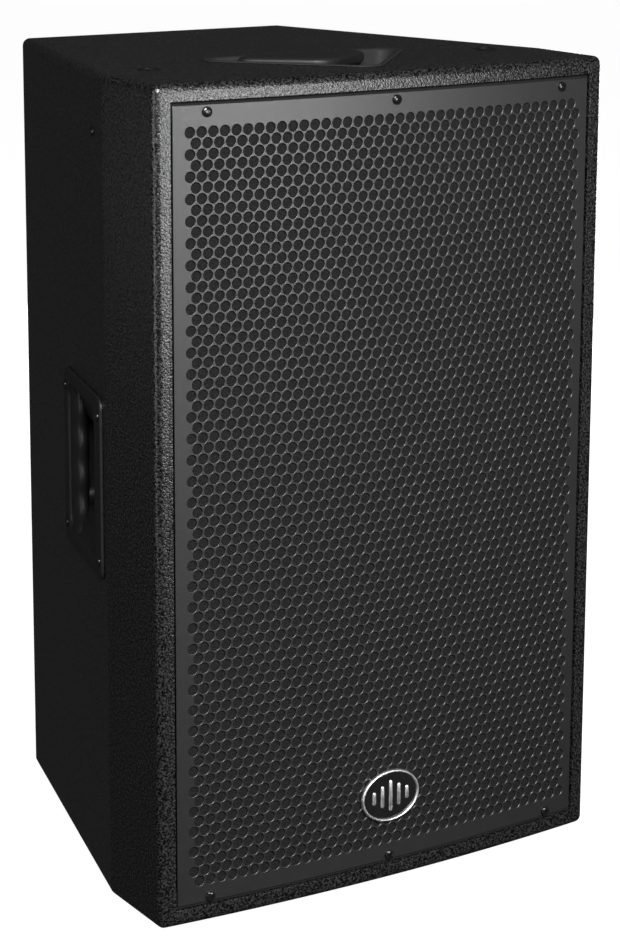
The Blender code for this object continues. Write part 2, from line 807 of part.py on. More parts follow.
def make_side_handle(side, name, wing):
    """A moulded plate with a pocket, and a grip bar across the pocket towards the back."""
    seat = wing_seat(side, f"{name}_seat", HANDLE_FROM_BEND, HANDLE_HEIGHT)
    wall, depth = 0.003, 0.044
    width, height = HANDLE_PLATE
    plate = sheet(name, [rectangle(width, height, 0.010)], PLATE_PROUD - GAP)
    plate.transform(Matrix.Translation((0, 0, (PLATE_PROUD + GAP) / 2)))
    handle = place(plate, name, MOULDING, seat)
    mouth_low, mouth_high = (-0.048, -0.066), (0.052, 0.066)
    floor_low, floor_high = (-0.044, -0.046), (0.048, 0.046)
    cup = tapered_box(
        f"{name}_cup",
        (mouth_low[0] - wall, mouth_low[1] - wall),
        (mouth_high[0] + wall, mouth_high[1] + wall),
        0.001,
        (floor_low[0] - wall, floor_low[1] - wall),
        (floor_high[0] + wall, floor_high[1] + wall),
        -depth - wall,
    )
    join(handle, helper(cup, f"{name}_cup", seat))
    slope = [(mouth - floor) / depth for mouth, floor in zip(mouth_high, floor_high)]
    above = 0.010
    pocket = tapered_box(
        f"{name}_pocket",
        (mouth_low[0] - slope[0] * above, mouth_low[1] - slope[1] * above),
        (mouth_high[0] + slope[0] * above, mouth_high[1] + slope[1] * above),
        above,
        floor_low,
        floor_high,
        -depth,
    )
    cut(handle, helper(pocket, f"{name}_pocket", seat))
    bar = cylinder(f"{name}_bar", 1, 0.134, 16)
    bar.transform(Matrix.Rotation(math.pi / 2, 4, "X") @ Matrix.Diagonal((0.012, 0.006, 1, 1)))
    join(handle, helper(bar, f"{name}_bar", seat, (0.033, 0, -0.002)))
    clear = 0.001
    opening = box(
        f"{name}_opening",
        (mouth_low[0] - wall - clear, mouth_low[1] - wall - clear, -0.04),
        (mouth_high[0] + wall + clear, mouth_high[1] + wall + clear, 0.02),
    )
    cut(wing, helper(opening, f"{name}_opening", seat))
    return handle


def triangle(inset, radius):
    """The top handle's plan: a rounded triangle that points forwards, drawn in by an inset."""
    back = TOP_HANDLE_BACK - inset
    front = TOP_HANDLE_FRONT + inset * math.hypot(1, TOP_HANDLE_SLOPE)
    half_width = (back - front) / TOP_HANDLE_SLOPE
    return rounded([(0, front, radius * 1.3), (half_width, back, radius), (-half_width, back, radius)], 6)


def drafted(mesh, factor):
    """Draws the lower outline in towards the middle, as a moulding's draft does."""

    def work(shape):
        low = [vert for vert in shape.verts if vert.co.z < 0]
        middle = sum((vert.co for vert in low), Vector()) / len(low)
        for vert in low:
            vert.co.x = middle.x + (vert.co.x - middle.x) * factor
            vert.co.y = middle.y + (vert.co.y - middle.y) * factor

    return tidied(mesh, work)


def make_top_handle(top_panel):
    """A moulded pocket of triangular plan, with a grip lip that bulges forwards over it from the back."""
    rim, wall, depth = 0.006, 0.003, 0.044
    seat = (0, 0, TOP)
    flange = sheet("handle_top", [triangle(0, 0.016)], TOP_HANDLE_PROUD - GAP)
    flange.transform(Matrix.Translation((0, 0, (TOP_HANDLE_PROUD + GAP) / 2)))
    handle = place(flange, "handle_top", MOULDING, location=seat)

    def pocket_solid(name, inset, radius, low, high):
        mesh = drafted(sheet(name, [triangle(inset, radius)], high - low), 0.85)
        mesh.transform(Matrix.Translation((0, 0, (low + high) / 2)))
        return helper(mesh, name, location=seat)

    join(handle, pocket_solid("top_cup", rim - wall, 0.014, -depth - wall, 0.0008))
    cut(handle, pocket_solid("top_pocket", rim, 0.011, -depth, 0.004))
    root = TOP_HANDLE_BACK - rim + 0.0015
    lip_plan = rounded([(0, root - 0.0585, 0.024), (0.080, root, 0.010), (-0.080, root, 0.010)], 5)
    lip = sheet("top_lip", [lip_plan], 0.011)
    lip.transform(Matrix.Translation((0, 0, TOP_HANDLE_PROUD - 0.0055)))
    join(handle, helper(lip, "top_lip", location=seat))
    opening = sheet("top_opening", [triangle(rim - wall - 0.001, 0.015)], 0.06)
    cut(top_panel, helper(opening, "top_opening", location=seat))
    return handle


# Fittings


def make_fly_point(name, parent, location, rotation, panel, rim=0.010):
    """A threaded insert with a dished flange, its blanking screw sunk in the dish."""
    proud, sunk, shank = 0.0006, -0.0030, rim * 0.80
    profile = [
        (0, sunk / 2),
        (rim * 0.46, sunk / 2),
        (rim * 0.50, sunk),
        (rim * 0.58, sunk),
        (rim * 0.72, proud),
        (rim, proud),
        (rim, GAP),
        (shank, GAP),
        (shank, -0.018),
        (0, -0.018),
    ]
    point = turned(name, profile, BLACK_STEEL, 16, parent, location, rotation)
    key = helper(cylinder(f"{name}_key", rim * 0.3, 0.003, 6), f"{name}_key", point, (0, 0, sunk / 2))
    cut(point, key)
    hole_radius = shank + 2 * GAP
    hole = helper(cylinder(f"{name}_hole", hole_radius, 0.06, 16), f"{name}_hole", parent, location, rotation)
    cut(panel, hole)


def make_fly_points(panels):
    x, y = TOP_FLY_POINT
    make_fly_point("fly_point_top_left", None, (-x, y, TOP), (0, 0, 0), panels["top_panel"])
    make_fly_point("fly_point_top_right", None, (x, y, TOP), (0, 0, 0), panels["top_panel"])
    for side, word in ((-1, "left"), (1, "right")):
        seat = wing_seat(side, f"fly_point_side_{word}_seat", *SIDE_FLY_POINT)
        name = f"fly_point_side_{word}"
        make_fly_point(name, seat, (0, 0, 0), (0, 0, 0), panels[f"wing_panel_{word}"], 0.0045)
    backwards = (-math.pi / 2, 0, 0)
    rear = (0, CABINET_DEPTH, BOTTOM + REAR_FLY_POINT)
    make_fly_point("fly_point_rear", None, rear, backwards, panels["rear_panel"])


def make_connector_plate():
    """A dished steel plate. Its own +Z points out of the back."""
    seat = bpy.data.objects.new("connector_seat", None)
    PARTS.objects.link(seat)
    seat.parent = ORIGIN
    seat.location = (0, CABINET_DEPTH, BOTTOM + CONNECTOR_HEIGHT)
    seat.rotation_euler = (-math.pi / 2, 0, 0)
    flange = sheet("connector_plate", [rectangle(0.180, 0.120, 0.008)], 0.0012)
    flange.transform(Matrix.Translation((0, 0, 0.0009)))
    plate = place(flange, "connector_plate", BLACK_STEEL, seat)
    dish = tapered_box(
        "connector_dish",
        (-0.078, -0.048),
        (0.078, 0.048),
        0.001,
        (-0.072, -0.042),
        (0.072, 0.042),
        -0.0235,
    )
    join(plate, helper(dish, "connector_dish", seat))
    hollow = tapered_box(
        "connector_hollow",
        (-0.0775, -0.0475),
        (0.0775, 0.0475),
        0.005,
        (-0.0705, -0.0405),
        (0.0705, 0.0405),
        -0.022,
    )
    cut(plate, helper(hollow, "connector_hollow", seat))
    for number, x in ((1, -0.032), (2, 0.032)):
        name = f"speaker_socket_{number}"
        hole = helper(cylinder(f"{name}_hole", 0.0125, 0.02, 24), f"{name}_hole", seat, (x, 0, -0.022))
        cut(plate, hole)
        profile = [
            (0.0160, -0.0187),
            (0.0160, -0.0217),
            (0.0121, -0.0217),
            (0.0121, -0.0460),
            (0, -0.0460),
            (0, -0.0270),
            (0.0030, -0.0240),
            (0.0030, -0.0400),
            (0.0105, -0.0400),
            (0.0105, -0.0187),
        ]
        turned(name, profile, MOULDING, 24, seat, (x, 0, 0))


def make_pole_socket():
    """A cup for a 35 mm pole, set in the bottom panel from below."""
    profile = [
        (0, 0.1030),
        (0.0210, 0.1030),
        (0.0215, -GAP),
        (0.0450, -GAP),
        (0.0450, -0.0028),
        (0.0200, -0.0028),
        (POLE_RADIUS, 0.0),
        (POLE_RADIUS, 0.1000),
        (0, 0.1000),
    ]
    turned("pole_socket", profile, MOULDING, 24, None, (0, POLE_Y, BOTTOM))


def make_feet():
    top = FOOT_HEIGHT - GAP
    profile = [(0, top), (0.0190, top), (0.0170, 0), (0.0065, 0), (0.0065, 0.003), (0, 0.003)]
    places = [(-0.175, 0.060), (0.175, 0.060), (-0.105, 0.370), (0.105, 0.370)]
    for number, (x, y) in enumerate(places, 1):
        turned(f"foot_{number}", profile, RUBBER, 24, None, (x, y, 0))


# Crossover, leads and lining


def make_crossover():
    board_y = CABINET_DEPTH - PANEL - 0.010
    middle = BOTTOM + CROSSOVER_HEIGHT
    corner = Vector((0.075, 0, 0.050))
    centre = Vector((0, board_y, middle))
    board = box("crossover_board", centre - corner - Vector((0, 0.002, 0)), centre + corner)
    board_node = place(board, "crossover_board", BOARD)
    posts = [(x, z) for z in (-0.043, 0.043) for x in (-0.068, 0.068)]
    for number, (x, z) in enumerate(posts, 1):
        post = cylinder(f"board_post_{number}", 0.003, 0.0108, 10)
        y = board_y + 0.0043
        join(board_node, helper(post, f"board_post_{number}", None, (x, y, middle + z), (math.pi / 2, 0, 0)))
    coil = [(0.0240, 0.011), (0.0240, -0.011), (0.0100, -0.011), (0.0100, 0.011)]
    front = board_y - 0.002 - GAP - 0.011
    turned("crossover_inductor", coil, COPPER, 24, None, (-0.040, front, middle), (math.pi / 2, 0, 0))
    can = [(0, 0.020), (0.0085, 0.020), (0.0095, 0.019), (0.0095, -0.019), (0.0085, -0.020), (0, -0.020)]
    turned(
        "crossover_capacitor",
        can,
        MOULDING,
        20,
        None,
        (0.030, board_y - 0.002 - GAP - 0.0096, middle),
        (0, math.pi / 2, 0),
    )


def make_leads():
    middle = BOTTOM + CROSSOVER_HEIGHT
    start = CABINET_DEPTH - PANEL - 0.010 - 0.002 - 0.0035
    woofer = [
        (-0.030, start, middle - 0.044),
        (-0.032, start - 0.030, middle - 0.052),
        (-0.040, 0.300, middle - 0.085),
        (-0.055, 0.230, BOTTOM + 0.345),
        (-0.070, 0.170, BOTTOM + 0.348),
        (-0.082, 0.128, BOTTOM + 0.352),
    ]
    tube_along("woofer_lead", woofer, 0.0025, RUBBER)
    horn = [
        (0.030, start, middle + 0.044),
        (0.032, start - 0.030, middle + 0.052),
        (0.040, 0.300, BOTTOM + 0.500),
        (0.046, 0.230, BOTTOM + 0.530),
        (0.0485, 0.180, BOTTOM + 0.552),
        (0.0480, 0.150, BOTTOM + 0.556),
    ]
    tube_along("hf_lead", horn, 0.0025, RUBBER)


def make_lining():
    back = CABINET_DEPTH - PANEL - GAP
    low, high = BOTTOM + 0.482, BOTTOM + 0.575
    pad = box("acoustic_lining", (-0.100, back - 0.020, low), (0.100, back, high))
    node = place(pad, "acoustic_lining", FELT)
    bevel = node.modifiers.new("soften", "BEVEL")
    bevel.width = 0.005
    bevel.segments = 2


def build():
    panels = {}
    panels["top_panel"], panels["bottom_panel"] = make_top_and_bottom()
    for side, word in ((-1, "left"), (1, "right")):
        make_cheek(side, f"cheek_panel_{word}")
        panels[f"wing_panel_{word}"] = make_wing(side, f"wing_panel_{word}")
    panels["rear_panel"] = make_rear_panel()
    make_baffle()
    make_shelf_brace()
    make_grille()
    make_rails()
    make_grille_screws()
    make_badge()
    make_woofer()
    make_horn()
    make_ports()
    make_side_handle(-1, "handle_left", panels["wing_panel_left"])
    make_side_handle(1, "handle_right", panels["wing_panel_right"])
    make_top_handle(panels["top_panel"])
    make_fly_points(panels)
    make_connector_plate()
    make_pole_socket()
    make_feet()
    make_crossover()
    make_leads()
    make_lining()
    for node in PARTS.objects:
        if node.type == "MESH":
            node.data.shade_smooth()
            node.data.set_sharp_from_angle(angle=math.radians(30))


build()
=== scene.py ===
import math

import bmesh
import bpy
from mathutils import Matrix, Vector


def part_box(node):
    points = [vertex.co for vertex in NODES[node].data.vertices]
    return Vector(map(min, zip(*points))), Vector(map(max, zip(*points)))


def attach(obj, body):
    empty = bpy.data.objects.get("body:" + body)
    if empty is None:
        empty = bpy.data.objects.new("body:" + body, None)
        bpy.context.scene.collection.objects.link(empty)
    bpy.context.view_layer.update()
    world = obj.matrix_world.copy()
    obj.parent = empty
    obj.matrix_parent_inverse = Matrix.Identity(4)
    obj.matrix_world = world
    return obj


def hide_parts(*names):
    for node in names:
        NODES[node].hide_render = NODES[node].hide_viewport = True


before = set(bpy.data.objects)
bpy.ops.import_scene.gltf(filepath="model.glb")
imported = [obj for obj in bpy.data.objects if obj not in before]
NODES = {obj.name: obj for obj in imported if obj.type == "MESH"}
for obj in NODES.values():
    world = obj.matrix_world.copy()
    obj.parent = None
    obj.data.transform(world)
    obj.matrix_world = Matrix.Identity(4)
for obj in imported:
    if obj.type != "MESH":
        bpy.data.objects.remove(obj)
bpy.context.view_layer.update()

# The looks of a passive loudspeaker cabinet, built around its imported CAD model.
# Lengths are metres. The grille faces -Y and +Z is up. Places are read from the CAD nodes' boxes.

BODY = "cabinet"
SIDES = ((-1, "left"), (1, "right"))

# Cabinet, read from the panels
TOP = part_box("top_panel")[1].z
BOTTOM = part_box("bottom_panel")[0].z
HALF_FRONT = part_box("top_panel")[1].x
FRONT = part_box("top_panel")[0].y
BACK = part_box("top_panel")[1].y
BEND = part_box("cheek_panel_right")[1].y
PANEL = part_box("top_panel")[1].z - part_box("top_panel")[0].z
JOINT_GAP = 0.0003
BOW_RADIUS = 2.2
EDGE_RADIUS = 0.007
BEND_RADIUS = 0.008
BAFFLE_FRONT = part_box("front_baffle")[0].y
WING_ANGLE = math.atan2(HALF_FRONT - 0.140, BACK - BEND)
HANDLE_FROM_BEND = 0.081
FLY_FROM_BEND = 0.036


# Mesh building


def smoothed(mesh, angle):
    """The mesh with smooth shading, apart from edges sharper than an angle in degrees."""
    mesh.shade_smooth()
    mesh.set_sharp_from_angle(angle=math.radians(angle))
    return mesh


def finished_mesh(shape, smooth_angle=32):
    """Turns a bmesh into a smoothed mesh with outward faces."""
    bmesh.ops.remove_doubles(shape, verts=shape.verts, dist=2e-7)
    bmesh.ops.recalc_face_normals(shape, faces=shape.faces)
    mesh = bpy.data.meshes.new("mesh")
    shape.to_mesh(mesh)
    shape.free()
    return smoothed(mesh, smooth_angle)


def moved(mesh, matrix):
    """The mesh after a matrix. One that mirrors would turn the faces inwards, so they are turned back."""
    mesh.transform(matrix)
    if matrix.determinant() < 0:
        mesh.flip_normals()
    return mesh


def centre_of(node):
    """The middle of a CAD node's box."""
    return [(low + high) / 2 for low, high in zip(*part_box(node))]


def polar(radius, turn):
    return radius * math.cos(turn), radius * math.sin(turn)


def quarter(steps, radius, start=0):
    """How far a rounded edge is in from its side and down from its top, at each step of its quarter turn."""
    turns = [math.pi / 2 * step / steps for step in range(start, steps + 1)]
    return [(radius * (1 - math.cos(t)), radius * (1 - math.sin(t))) for t in turns]


def bridge(shape, first, second):
    """Adds faces between two closed rings of vertices."""
    for index in range(len(first)):
        after = (index + 1) % len(first)
        shape.faces.new((first[index], first[after], second[after], second[index]))


def loft_into(shape, rings, start_cap=True, end_cap=True):
    """Adds faces between closed rings that have the same number of points."""
    made = [[shape.verts.new(point) for point in ring] for ring in rings]
    for first, second in zip(made, made[1:]):
        bridge(shape, first, second)
    if start_cap:
        shape.faces.new(made[0][::-1])
    if end_cap:
        shape.faces.new(made[-1])
    return made


def lofted(rings, smooth_angle=32):
    shape = bmesh.new()
    loft_into(shape, rings)
    return finished_mesh(shape, smooth_angle)


def turned_into(shape, profile, steps):
    """Turns a closed (radius, height) profile about Z. Points on the axis become one vertex."""
    columns = []
    turns = [2 * math.pi * step / steps for step in range(steps)]
    for radius, height in profile:
        around = turns if radius > 1e-7 else turns[:1]
        columns.append([shape.verts.new((*polar(radius, turn), height)) for turn in around])
    for first, second in zip(columns, columns[1:] + columns[:1]):
        if len(first) == 1 and len(second) == 1:
            continue
        for index in range(steps):
            after = (index + 1) % steps
            corners = [first[index % len(first)], first[after % len(first)]]
            corners += [second[after % len(second)], second[index % len(second)]]
            unique = list(dict.fromkeys(corners))
            if len(unique) > 2:
                shape.faces.new(unique)


def turned(profile, steps=64, smooth_angle=32):
    shape = bmesh.new()
    turned_into(shape, profile, steps)
    return finished_mesh(shape, smooth_angle)


def arc(centre, radius, start, end, steps):
    """Points of an arc in a profile, angles in degrees from the radius axis towards the height axis."""
    turns = [math.radians(start + (end - start) * step / steps) for step in range(steps + 1)]
    return [(centre[0] + radius * math.cos(t), centre[1] + radius * math.sin(t)) for t in turns]


def outline(corners, corner_steps=6, side_steps=1):
    """A closed 2D outline from (x, y, radius) corners, with the same number of points whatever the radii."""
    arcs = []
    for index, (x, y, radius) in enumerate(corners):
        corner = Vector((x, y))
        before = (Vector(corners[index - 1][:2]) - corner).normalized()
        after = (Vector(corners[(index + 1) % len(corners)][:2]) - corner).normalized()
        half = before.angle(after) / 2
        centre = corner + (before + after).normalized() * radius / math.sin(half)
        first = corner + before * radius / math.tan(half) - centre
        last = corner + after * radius / math.tan(half) - centre
        sweep = first.angle_signed(last, 0)
        turns = [Matrix.Rotation(-sweep * step / corner_steps, 2) for step in range(corner_steps + 1)]
        arcs.append([centre + turn @ first for turn in turns])
    points = []
    for index, made in enumerate(arcs):
        points += made
        towards = arcs[(index + 1) % len(arcs)][0]
        points += [made[-1].lerp(towards, step / side_steps) for step in range(1, side_steps)]
    return points


def rounded_rectangle(half_width, half_height, radius, corner_steps=6, side_steps=6, centre=(0, 0)):
    x, y = centre
    signs = ((-1, -1), (1, -1), (1, 1), (-1, 1))
    corners = [(x + across * half_width, y + up * half_height, radius) for across, up in signs]
    return outline(corners, corner_steps, side_steps)


def at_height(points, height):
    return [Vector((point[0], point[1], height)) for point in points]


def prism(points, *levels):
    """An outline drawn out from one height to the next."""
    return lofted([at_height(points, level) for level in levels])


def applied(mesh, cutters, smooth_angle):
    """The mesh after each cutter mesh has been taken from it, with the exact solver."""
    target = bpy.data.objects.new("target", mesh)
    bpy.context.scene.collection.objects.link(target)
    helpers = []
    for cutter in cutters:
        helper = bpy.data.objects.new("cutter", cutter)
        bpy.context.scene.collection.objects.link(helper)
        helpers.append(helper)
        modifier = target.modifiers.new("cut", "BOOLEAN")
        modifier.operation = "DIFFERENCE"
        modifier.solver = "EXACT"
        modifier.object = helper
    bpy.context.view_layer.update()
    graph = bpy.context.evaluated_depsgraph_get()
    result = bpy.data.meshes.new_from_object(target.evaluated_get(graph))
    for helper in [target, *helpers]:
        bpy.data.objects.remove(helper)
    shape = bmesh.new()
    shape.from_mesh(result)
    bmesh.ops.remove_doubles(shape, verts=shape.verts, dist=1e-6)
    shape.to_mesh(result)
    shape.free()
    return smoothed(result, smooth_angle)


def piece(name, mesh, finish, nodes=(), matrix=None):
    """Puts a mesh in the scene as a piece of the object that stands for the named CAD nodes."""
    made = bpy.data.objects.new(name, mesh)
    mesh.name = name
    mesh.materials.clear()
    mesh.materials.append(finish)
    bpy.context.scene.collection.objects.link(made)
    if matrix is not None:
        moved(mesh, matrix)
    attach(made, BODY)
    if nodes:
        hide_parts(*nodes)
    return made


# Materials


class Nodes:
    """A small helper that builds a material's node tree."""

    def __init__(self, name, colour, roughness, metallic=0.0):
        self.material = bpy.data.materials.new(name)
        self.material.use_nodes = True
        self.tree = self.material.node_tree
        self.shader = self.tree.nodes["Principled BSDF"]
        self.shader.inputs["Base Color"].default_value = (*colour, 1)
        self.shader.inputs["Roughness"].default_value = roughness
        self.shader.inputs["Metallic"].default_value = metallic
        self.place = self.tree.nodes.new("ShaderNodeTexCoord").outputs["Object"]

    def add(self, kind, inputs, output=0, **settings):
        """The output of a new node. Each input gets a value, or a link from another node's output."""
        node = self.tree.nodes.new(kind)
        for key, value in settings.items():
            setattr(node, key, value)
        for key, value in inputs.items():
            if isinstance(value, bpy.types.NodeSocket):
                self.tree.links.new(value, node.inputs[key])
            else:
                node.inputs[key].default_value = value
        return node.outputs[output]

    def noise(self, scale, detail=2.0, roughness=0.5, stretch=None):
        inputs = {"Vector": self.place, "Scale": scale, "Detail": detail, "Roughness": roughness}
        if stretch is not None:
            stretched = {"Scale": stretch, "Vector": self.place}
            inputs["Vector"] = self.add("ShaderNodeMapping", stretched, "Vector")
        return self.add("ShaderNodeTexNoise", inputs, "Fac")

    def cells(self, scale, feature):
        inputs = {"Scale": scale, "Vector": self.place}
        return self.add("ShaderNodeTexVoronoi", inputs, "Distance", feature=feature)

    def spread(self, value, low, high, start=0.0, end=1.0):
        inputs = {"From Min": start, "From Max": end, "To Min": low, "To Max": high, "Value": value}
        return self.add("ShaderNodeMapRange", inputs, "Result")

    def sum(self, first, second, share=1.0):
        return self.add("ShaderNodeMath", {0: second, 1: share, 2: first}, operation="MULTIPLY_ADD")

    def blend(self, value, first, second):
        inputs = {"Factor": value, "A": (*first, 1), "B": (*second, 1)}
        return self.add("ShaderNodeMix", inputs, "Result", data_type="RGBA")

    def colour(self, output):
        self.tree.links.new(output, self.shader.inputs["Base Color"])

    def roughness(self, output):
        self.tree.links.new(output, self.shader.inputs["Roughness"])

    def bump(self, output, strength, distance):
        inputs = {"Strength": strength, "Distance": distance, "Height": output}
        normal = self.add("ShaderNodeBump", inputs, "Normal")
        self.tree.links.new(normal, self.shader.inputs["Normal"])


NOISE_SPAN = (0.3, 0.7)


def grey(level, blue=None):
    """A grey, with a blue of its own where it isn't neutral."""
    return (level, level, blue or level)


def grained_material(name, colour, roughness, bump, tint, gloss=None, metallic=0.0, specular=None):
    """A material with grain. bump, tint and gloss each start with a noise's settings. Then come the bump's
    strength and depth, the tint's two colours, and the two values that the roughness runs between."""
    made = Nodes(name, colour, roughness, metallic)
    made.bump(made.noise(*bump[0]), *bump[1:])
    made.colour(made.blend(made.noise(*tint[0]), *tint[1:]))
    if gloss:
        made.roughness(made.spread(made.noise(*gloss[0]), *gloss[1:], *NOISE_SPAN))
    if specular is not None:
        made.shader.inputs["Specular IOR Level"].default_value = specular
    return made.material


def paint_material():
    """Black sprayed paint with a coarse orange-peel texture, and painted glints on its crests."""
    made = Nodes("cabinet_paint", (0.009, 0.009, 0.0095), 0.30)
    grains = made.noise(560, 1, 0.5)
    fine = made.noise(1500, 1)
    height = made.sum(grains, fine, 0.25)
    made.bump(height, 1.0, 0.00040)
    # The colour is lighter where the orange-peel bump is high: painted glints on its crests.
    painted_crest_glints = made.spread(made.noise(560, 1), 0, 1, 0.42, 0.66)
    made.colour(made.blend(painted_crest_glints, (0.001, 0.001, 0.001), (0.026, 0.026, 0.027)))
    made.roughness(made.spread(made.noise(420, 2), 0.17, 0.30, 0.3, 0.7))
    return made.material


def foam_material():
    """Open-cell foam: small pores bumped into matt black, with painted shade in their hollows."""
    made = Nodes("acoustic_foam", (0.015, 0.015, 0.015), 0.95)
    pore_depth_and_painted_shade = made.cells(900, "F1")
    # Darker towards each pore's middle: painted shade in the pore hollows.
    made.colour(made.blend(made.spread(pore_depth_and_painted_shade, 0, 1, 0.0, 0.7), (0.002, 0.002, 0.002), (0.011, 0.011, 0.011)))
    made.bump(pore_depth_and_painted_shade, 0.9, 0.0008)
    made.shader.inputs["Specular IOR Level"].default_value = 0.12
    return made.material


def moulding_material(name, roughness):
    """Injection-moulded black plastic with a faint grain."""
    bump = (1300, 3), 0.16, 0.0002
    tint = (300, 2), grey(0.009), grey(0.014)
    gloss = (160, 2), roughness - 0.05, roughness + 0.06
    return grained_material(name, grey(0.011), roughness, bump, tint, gloss, specular=0.3)


def rubber_material(name):
    bump, gloss = ((1100, 3), 0.3, 0.0003), ((260, 2), 0.7, 0.88)
    return grained_material(name, grey(0.014), 0.8, bump, ((200, 3), grey(0.010), grey(0.022)), gloss)


def cloth_material():
    """Woven cloth stiffened with resin."""
    made = Nodes("treated_cloth", (0.030, 0.027, 0.023), 0.75)
    weave = made.sum(made.noise(1400, 0, 0.5, (1, 0.1, 0.1)), made.noise(1400, 0, 0.5, (0.1, 0.1, 1)))
    made.bump(weave, 0.5, 0.0004)
    made.colour(made.blend(made.spread(weave, 0, 1, 0.6, 1.4), (0.018, 0.016, 0.013), (0.050, 0.045, 0.038)))
    return made.material


def board_material():
    """A green circuit board with tracks under its lacquer."""
    made = Nodes("circuit_board", (0.02, 0.09, 0.04), 0.42)
    tracks = made.cells(120, "DISTANCE_TO_EDGE")
    narrow = made.spread(tracks, 1, 0, 0.05, 0.07)
    made.colour(made.blend(narrow, (0.012, 0.065, 0.028), (0.035, 0.15, 0.065)))
    made.bump(narrow, 0.3, 0.0002)
    return made.material


def plywood_material():
    """Birch plywood: long grain, with darker pores."""
    made = Nodes("plywood", (0.42, 0.28, 0.15), 0.65)
    grain = made.noise(60, 6, 0.65, (1, 9, 9))
    made.colour(made.blend(made.spread(grain, 0, 1, 0.3, 0.7), (0.30, 0.19, 0.095), (0.52, 0.37, 0.21)))
    made.bump(grain, 0.25, 0.0004)
    made.roughness(made.spread(grain, 0.55, 0.78, 0.3, 0.7))
    return made.material


PAINT = paint_material()
# Dark grey satin powder coat
GRILLE_COAT = grained_material(
    "grille_powder_coat", grey(0.014, 0.0145), 0.36, ((2600, 2), 0.12, 0.00015),
    ((60, 3), grey(0.009, 0.0095), grey(0.013, 0.0135)), ((900, 2), 0.32, 0.42))
FOAM = foam_material()
MOULDING = moulding_material("black_moulding", 0.44)
POCKET = moulding_material("pocket_moulding", 0.72)
SOCKET_PLASTIC = moulding_material("socket_plastic", 0.45)
# Blackened steel with fine scratches and a slight sheen
BLACK_STEEL = grained_material(
    "black_steel", grey(0.008), 0.2, ((1800, 2), 0.08, 0.0001),
    ((400, 2), grey(0.005), grey(0.012)), ((500, 3), 0.10, 0.20), 0.2)
CHROME = grained_material(
    "chrome", grey(0.80, 0.81), 0.44, ((240, 2), 0.05, 0.0001),
    ((90, 2), grey(0.78, 0.79), grey(0.84, 0.85)), ((350, 2), 0.38, 0.50), 1.0)
GLOSS = grained_material(
    "badge_gloss", grey(0.006), 0.10, ((500, 2), 0.03, 0.0001),
    ((120, 2), grey(0.005), grey(0.009)), ((300, 2), 0.08, 0.15))
RUBBER = rubber_material("rubber")
LEAD = rubber_material("lead_sheath")
# Pressed paper pulp with visible fibres
FIBRES = (700, 5, 0.7)
PAPER = grained_material(
    "pressed_paper", grey(0.018, 0.020), 0.78, (FIBRES, 0.5, 0.0004),
    (FIBRES, grey(0.010, 0.011), grey(0.034, 0.036)), ((90, 2), 0.7, 0.86))
CLOTH = cloth_material()
CAST = grained_material(
    "cast_frame", grey(0.022, 0.023), 0.5, ((900, 4), 0.3, 0.0004),
    ((180, 3), grey(0.015, 0.016), grey(0.032, 0.033)), ((300, 2), 0.42, 0.6), 0.2)
# Zinc-plated steel, turned, with fine rings of brushing
BRUSHING = (420, 3, 0.6, (1, 12, 1))
STEEL = grained_material(
    "plated_steel", grey(0.55, 0.56), 0.32, (BRUSHING, 0.15, 0.0002),
    ((40, 3), (0.46, 0.47, 0.48), grey(0.62, 0.60)), (BRUSHING, 0.24, 0.42), 1.0)
FERRITE = grained_material(
    "ferrite", grey(0.045, 0.047), 0.6, ((1600, 4), 0.35, 0.0003),
    ((320, 4), grey(0.032, 0.034), grey(0.062, 0.064)), ((500, 2), 0.5, 0.72))
# Enamelled copper wire wound in fine turns
WINDING = (1500, 0, 0.5, (0.05, 1, 0.05))
COPPER = grained_material(
    "copper_winding", (0.60, 0.24, 0.11), 0.3, (WINDING, 0.6, 0.0004),
    (WINDING, (0.36, 0.12, 0.05), (0.72, 0.32, 0.16)), metallic=0.9)
BOARD = board_material()
FLEECE = (1100, 6, 0.75)
FELT = grained_material(
    "felt", grey(0.11), 0.97, (FLEECE, 0.9, 0.0012), (FLEECE, grey(0.06, 0.062), grey(0.18, 0.178)))
PLYWOOD = plywood_material()
# Timber stained matt black
TIMBER = (90, 5, 0.6, (1, 8, 8))
STAIN = grained_material(
    "black_stain", grey(0.008), 0.9, (TIMBER, 0.25, 0.0003),
    (TIMBER, grey(0.005), grey(0.012, 0.011)), specular=0.15)


# Cabinet shell


def bow(x):
    """How far the grille's outer face has curved back at x from its middle."""
    return BOW_RADIUS - math.sqrt(BOW_RADIUS**2 - x**2)


def half_plan():
    """Points and outward normals along the cabinet's right half, from the middle of its front to its back."""
    axis_y = FRONT + BOW_RADIUS
    lean = math.asin((HALF_FRONT - EDGE_RADIUS) / (BOW_RADIUS - EDGE_RADIUS))
    points = []
    bow_steps = 26
    for step in range(bow_steps):
        turn = lean * step / bow_steps
        normal = Vector((math.sin(turn), -math.cos(turn)))
        points.append((Vector((BOW_RADIUS * math.sin(turn), axis_y - BOW_RADIUS * math.cos(turn))), normal))
    centre_y = axis_y - (BOW_RADIUS - EDGE_RADIUS) * math.cos(lean)
    slope = math.tan(WING_ANGLE)
    back_x = HALF_FRONT - (BACK - EDGE_RADIUS - BEND) * slope - EDGE_RADIUS / math.cos(WING_ANGLE)
    bend = (HALF_FRONT - BEND_RADIUS, BEND - BEND_RADIUS * math.tan(WING_ANGLE / 2))
    arcs = [
        ((HALF_FRONT - EDGE_RADIUS, centre_y), EDGE_RADIUS, lean - math.pi / 2, 0, 8),
        (bend, BEND_RADIUS, 0, WING_ANGLE, 4),
        ((back_x, BACK - EDGE_RADIUS), EDGE_RADIUS, WING_ANGLE, math.pi / 2, 8),
    ]
    for centre, radius, start, end, steps in arcs:
        for step in range(steps + 1):
            turn = start + (end - start) * step / steps
            normal = Vector((math.cos(turn), math.sin(turn)))
            points.append((Vector(centre) + normal * radius, normal))
    return points


